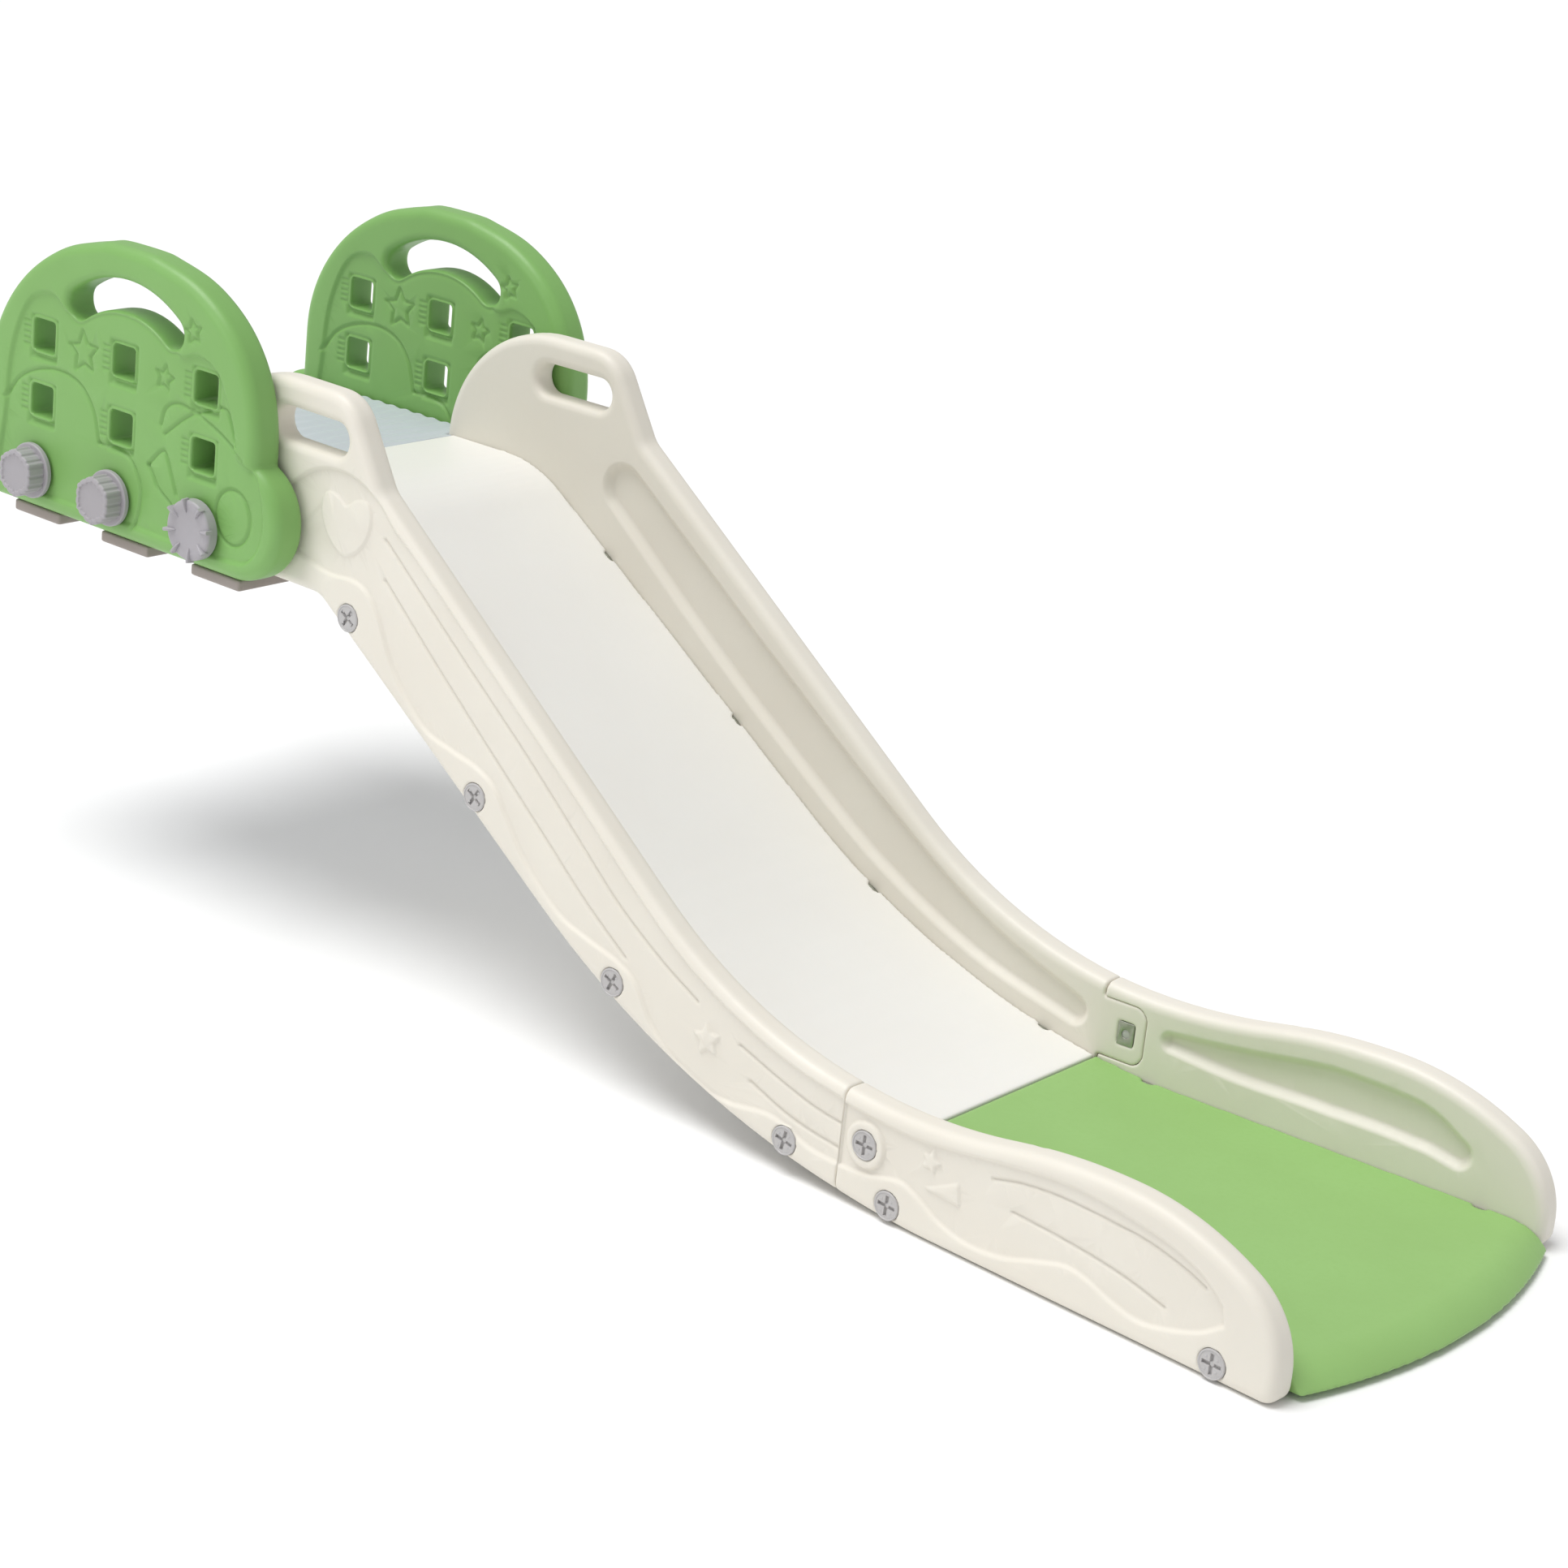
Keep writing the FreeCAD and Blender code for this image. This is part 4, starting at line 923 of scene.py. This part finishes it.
class WAVESLIDE_OT_knobs(bpy.types.Operator):
    """Make the four fluted hand knobs and the two front dials"""

    bl_idname = "wave_slide.knobs"
    bl_label = "Knobs and dials"

    def execute(self, context):
        for side_name, side in SIDES.items():
            for place in ("rear", "middle"):
                node = f"{side_name}_{place}_knob"
                self.stand(context, self.make_knob(node + "_body"), node, side)
            node = f"{side_name}_front_dial"
            self.stand(context, self.make_dial(node + "_body"), node, side)
        return {"FINISHED"}

    def stand(self, context, piece, node, side):
        """Put a piece in its place on a guard panel and finish it."""
        piece.data.transform(knob_matrix(node, side))
        shade(piece, KNOB_CREASE_ANGLE)
        dressed(piece, node, "light_grey", paint_for(context, "light_grey"), node)

    def make_shank(self, name):
        """The plain round shank behind a knob or dial."""
        return ringed(name, knob_rings(in_metres(SHANK_PROFILE), round_radius(SHANK_RADIUS), SHANK_SIDES))

    def make_knob(self, name):
        """A round collar, a fluted six-sided grasp with a dished end, and the shank."""
        collar = rounded_profile(FOOT_HEIGHT, COLLAR_TOP, COLLAR_ROUNDING) + [(COLLAR_TOP, COLLAR_TOP_WIDTH)]
        grasp = rounded_profile(GRASP_FOOT, GRASP_TOP, GRASP_ROUNDING) + in_metres(GRASP_DISH)
        hexagon = hexagon_radius(GRASP_HALF_WIDTH, GRASP_FLUTE)
        pieces = [
            ringed(name + "_collar", knob_rings(collar, round_radius(COLLAR_RADIUS), COLLAR_SIDES)),
            ringed(name + "_grasp", knob_rings(grasp, hexagon, GRASP_SIDES)),
            self.make_shank(name + "_shank"),
        ]
        return joined(name, pieces)

    def make_dial(self, name):
        """A dished disc with pointed fins round its rim, and the shank."""
        disc = rounded_profile(FOOT_HEIGHT, DIAL_TOP, DIAL_ROUNDING) + in_metres(DIAL_DISH)
        pieces = [
            ringed(name + "_disc", knob_rings(disc, round_radius(DIAL_RADIUS), DIAL_SIDES)),
            self.make_shank(name + "_shank"),
        ]
        for index in range(DIAL_FINS):
            fin = self.make_fin(f"{name}_fin_{index}")
            angle = math.radians(360 / DIAL_FINS * index + DIAL_FIN_TILT)
            fin.data.transform(Matrix.Rotation(angle, 4, "Z"))
            pieces.append(fin)
        return joined(name, pieces)

    def make_fin(self, name):
        """One pointed rib, tall at the rim and fading towards the dial's middle."""
        rings = []
        for reach, half, top in FIN_SECTIONS:
            shoulder = top - FIN_SHOULDER_DROP
            crest = half * FIN_CREST_SHARE
            section = [(-half, FIN_FOOT), (half, FIN_FOOT), (half, shoulder)]
            section += [(crest, top), (-crest, top), (-half, shoulder)]
            rings.append([(reach * MM, y * MM, z * MM) for y, z in section])
        return ringed(name, rings)


class WAVESLIDE_OT_brackets(bpy.types.Operator):
    """Soften the brackets that reach out under the deck"""

    bl_idname = "wave_slide.brackets"
    bl_label = "Brackets"

    def execute(self, context):
        sizes = context.scene.wave_slide_sizes
        for side_name in SIDES:
            node = f"{side_name}_brackets"
            piece = shade(remoulded(cad_copy(node, node + "_body"), sizes, coarseness=0.8, passes=16))
            dressed(piece, "slide", "warm_grey", paint_for(context, "warm_grey"), node)
        return {"FINISHED"}


def islands(node):
    """The corners of each separate solid in a CAD node, as arrays."""
    shape = welded(node)
    unseen = set(shape.verts)
    found = []
    while unseen:
        queue = [unseen.pop()]
        places = []
        while queue:
            vertex = queue.pop()
            places.append(tuple(vertex.co))
            linked = {edge.other_vert(vertex) for edge in vertex.link_edges} & unseen
            unseen -= linked
            queue.extend(linked)
        found.append(np.array(places))
    shape.free()
    return sorted(found, key=lambda places: places[:, 0].mean())


def head_frames(node, part, side):
    """A frame for each screw of a node: on its head's outer face, with Z outward."""
    flare = side * RAIL_FLARE[part]
    outward = np.array((-math.sin(flare), math.cos(flare), 0.0)) * side
    turn = Vector(outward).to_track_quat("Z", "X").to_matrix().to_4x4()
    frames = []
    for places in islands(node):
        level = places @ outward
        rim = places[level > level.max() - HEAD_HEIGHT / 2]
        centre = (rim.min(0) + rim.max(0)) / 2
        centre += outward * (level.max() - centre @ outward)
        frames.append(Matrix.Translation(centre) @ turn)
    return frames


# Details of a screw's head, and how far its edges and a nut's are rounded
RIM_RADIUS = 13.6 * MM
RIM_SIDES = 64
CONE_RADIUS = 3.2 * MM
CONE_SIDES = 24
DOT_RADIUS = 1.2 * MM
DOT_SIDES = 16
DOT_REACH = 8 * MM
SCREW_BEVEL = 0.6 * MM
NUT_BEVEL = 0.5 * MM


class WAVESLIDE_OT_fasteners(bpy.types.Operator):
    """Make the cross-head screws and finish the square nuts"""

    bl_idname = "wave_slide.fasteners"
    bl_label = "Screws and nuts"

    def execute(self, context):
        screws = (("upper_rail_screws", "upper"), ("lower_rail_screws", "lower"), ("joint_screw", "lower"))
        for side_name, side in SIDES.items():
            for kind, part in screws:
                self.make_screws(context, f"{side_name}_{kind}", part, side)
            self.make_nuts(context, f"{side_name}_joint_nut")
        for part in ("upper", "lower"):
            self.make_nuts(context, f"{part}_board_nuts")
        return {"FINISHED"}

    def make_screws(self, context, node, part, side):
        """Softened screws with a raised rim, a small cone in the cross and four dots."""
        pieces = [softened(node, node + "_shanks", SCREW_BEVEL)]
        for index, place in enumerate(head_frames(node, part, side)):
            for detail in self.head_details(f"{node}_{index}"):
                detail.data.transform(place)
                pieces.append(detail)
        piece = shade(joined(node + "_body", pieces), CREASE_ANGLE)
        dressed(piece, "slide", "screw_grey", paint_for(context, "screw_grey"), node)

    def head_details(self, name):
        """A raised rim, a cone in the middle and a dot in each quarter, round the Z axis."""
        rim = knob_rings(in_metres(RIM_PROFILE), round_radius(RIM_RADIUS), RIM_SIDES)
        cone = knob_rings(in_metres(CONE_PROFILE), round_radius(CONE_RADIUS), CONE_SIDES)
        details = [ringed(name + "_rim", rim + rim[:1], closed=False), ringed(name + "_cone", cone)]
        for quarter in range(4):
            dot = knob_rings(in_metres(DOT_PROFILE), round_radius(DOT_RADIUS), DOT_SIDES)
            dot = ringed(f"{name}_dot_{quarter}", dot)
            angle = math.radians(45 + 90 * quarter)
            middle = (DOT_REACH * math.cos(angle), DOT_REACH * math.sin(angle), 0)
            dot.data.transform(Matrix.Translation(middle))
            details.append(dot)
        return details

    def make_nuts(self, context, node):
        """Square nuts with their edges rounded over."""
        piece = softened(node, node + "_body", NUT_BEVEL)
        dressed(piece, "slide", "nut_steel", paint_for(context, "nut_steel"), node)


# The studio
FLOOR_HALF_WIDTH = 40.0
FLOOR_LEVEL = -0.5 * MM
SKY_COLOUR = (1.0, 1.0, 1.0, 1.0)
SKY_STRENGTH = 0.5
SUN_STRENGTH = 2.1
SUN_ANGLE = math.radians(35)
SUN_PLACE = (-0.5, -0.6, 2.2)
SUN_TARGET = (0.0, 0.0, 0.0)
GLOW_SIZE = 1.6
GLOW_POWER = 14
GLOW_PLACE = (-1.4, -2.8, 1.9)
GLOW_TARGET = (-0.3, 0.0, 0.3)
CAMERA_PLACE = (2.147, -2.698, 1.455)
CAMERA_YAW = math.radians(37.599)
CAMERA_PITCH = math.radians(19.176)
CAMERA_ROLL = math.radians(6.155)
CAMERA_LENS = 85.58
CAMERA_SENSOR = 36.0
CAMERA_REACH = 60.0


class WAVESLIDE_OT_studio(bpy.types.Operator):
    """Lay the floor and set the lights and the camera"""

    bl_idname = "wave_slide.studio"
    bl_label = "Studio"

    def execute(self, context):
        self.lay_floor(context)
        self.light(context)
        self.aim_camera(context)
        return {"FINISHED"}

    def lay_floor(self, context):
        """A wide, flat, pale floor just under the slide."""
        half, level = FLOOR_HALF_WIDTH, FLOOR_LEVEL
        mesh = bpy.data.meshes.new("studio_floor")
        corners = [(-half, -half, level), (half, -half, level), (half, half, level), (-half, half, level)]
        mesh.from_pydata(corners, [], [(0, 1, 2, 3)])
        floor = new_piece("studio_floor", mesh)
        paint = floor_paint("studio_floor_finish", context.scene.wave_slide_colours.floor)
        floor.data.materials.append(paint)

    def light(self, context):
        """An even white sky, a broad sun from above and a faint glow on the near side."""
        world = bpy.data.worlds.new("studio_sky")
        context.scene.world = world
        world.use_nodes = True
        background = world.node_tree.nodes["Background"]
        background.inputs["Color"].default_value = SKY_COLOUR
        background.inputs["Strength"].default_value = SKY_STRENGTH
        sun = bpy.data.lights.new("studio_sun", "SUN")
        sun.energy = SUN_STRENGTH
        sun.angle = SUN_ANGLE
        self.hang(context, sun, SUN_PLACE, SUN_TARGET)
        glow = bpy.data.lights.new("studio_glow", "AREA")
        glow.size = GLOW_SIZE
        glow.energy = GLOW_POWER
        self.hang(context, glow, GLOW_PLACE, GLOW_TARGET)
        context.scene.view_settings.view_transform = "Standard"

    def hang(self, context, lamp, place, target):
        """Put a lamp in its place, facing its target."""
        holder = bpy.data.objects.new(lamp.name, lamp)
        holder.location = place
        holder.rotation_euler = (Vector(target) - Vector(place)).to_track_quat("-Z", "Y").to_euler()
        context.scene.collection.objects.link(holder)

    def aim_camera(self, context):
        """Stand the camera high on the near side beyond the toe, looking back uphill, slightly rolled."""
        yaw, pitch, roll = CAMERA_YAW, CAMERA_PITCH, CAMERA_ROLL
        level = Vector((math.cos(yaw), math.sin(yaw), 0.0))
        across = math.cos(pitch)
        ahead = Vector((-math.sin(yaw) * across, math.cos(yaw) * across, -math.sin(pitch)))
        above = level.cross(ahead)
        right = math.cos(roll) * level + math.sin(roll) * above
        up = math.cos(roll) * above - math.sin(roll) * level
        lens = bpy.data.cameras.new("studio_camera")
        lens.sensor_width = CAMERA_SENSOR
        lens.lens = CAMERA_LENS
        lens.clip_end = CAMERA_REACH
        camera = bpy.data.objects.new("studio_camera", lens)
        turn = Matrix((right, up, -ahead)).transposed().to_4x4()
        camera.matrix_world = Matrix.Translation(CAMERA_PLACE) @ turn
        context.scene.collection.objects.link(camera)
        context.scene.camera = camera


OPERATORS = (
    WAVESLIDE_OT_side_rails,
    WAVESLIDE_OT_guard_panels,
    WAVESLIDE_OT_boards,
    WAVESLIDE_OT_deck,
    WAVESLIDE_OT_knobs,
    WAVESLIDE_OT_brackets,
    WAVESLIDE_OT_fasteners,
    WAVESLIDE_OT_studio,
)


class WAVESLIDE_PT_sidebar(bpy.types.Panel):
    """Sizes, colours and pieces of the wave slide"""

    bl_idname = "WAVESLIDE_PT_sidebar"
    bl_label = "Wave slide"
    bl_space_type = "VIEW_3D"
    bl_region_type = "UI"
    bl_category = "Wave slide"

    def draw(self, context):
        for heading, group in (("Sizes", "wave_slide_sizes"), ("Colours", "wave_slide_colours")):
            values = getattr(context.scene, group)
            box = self.layout.box()
            box.label(text=heading)
            for name in values.__annotations__:
                box.prop(values, name)
        for operator in OPERATORS:
            self.layout.operator(operator.bl_idname)


CLASSES = (WaveSlideSizes, WaveSlideColours, *OPERATORS, WAVESLIDE_PT_sidebar)


def register():
    for item in CLASSES:
        bpy.utils.register_class(item)
    bpy.types.Scene.wave_slide_sizes = bpy.props.PointerProperty(type=WaveSlideSizes)
    bpy.types.Scene.wave_slide_colours = bpy.props.PointerProperty(type=WaveSlideColours)


def unregister():
    del bpy.types.Scene.wave_slide_colours
    del bpy.types.Scene.wave_slide_sizes
    for item in reversed(CLASSES):
        bpy.utils.unregister_class(item)


def main():
    """Build every piece and the studio."""
    register()
    for operator in OPERATORS:
        group, name = operator.bl_idname.split(".")
        getattr(getattr(bpy.ops, group), name)()


if __name__ == "__main__":
    main()
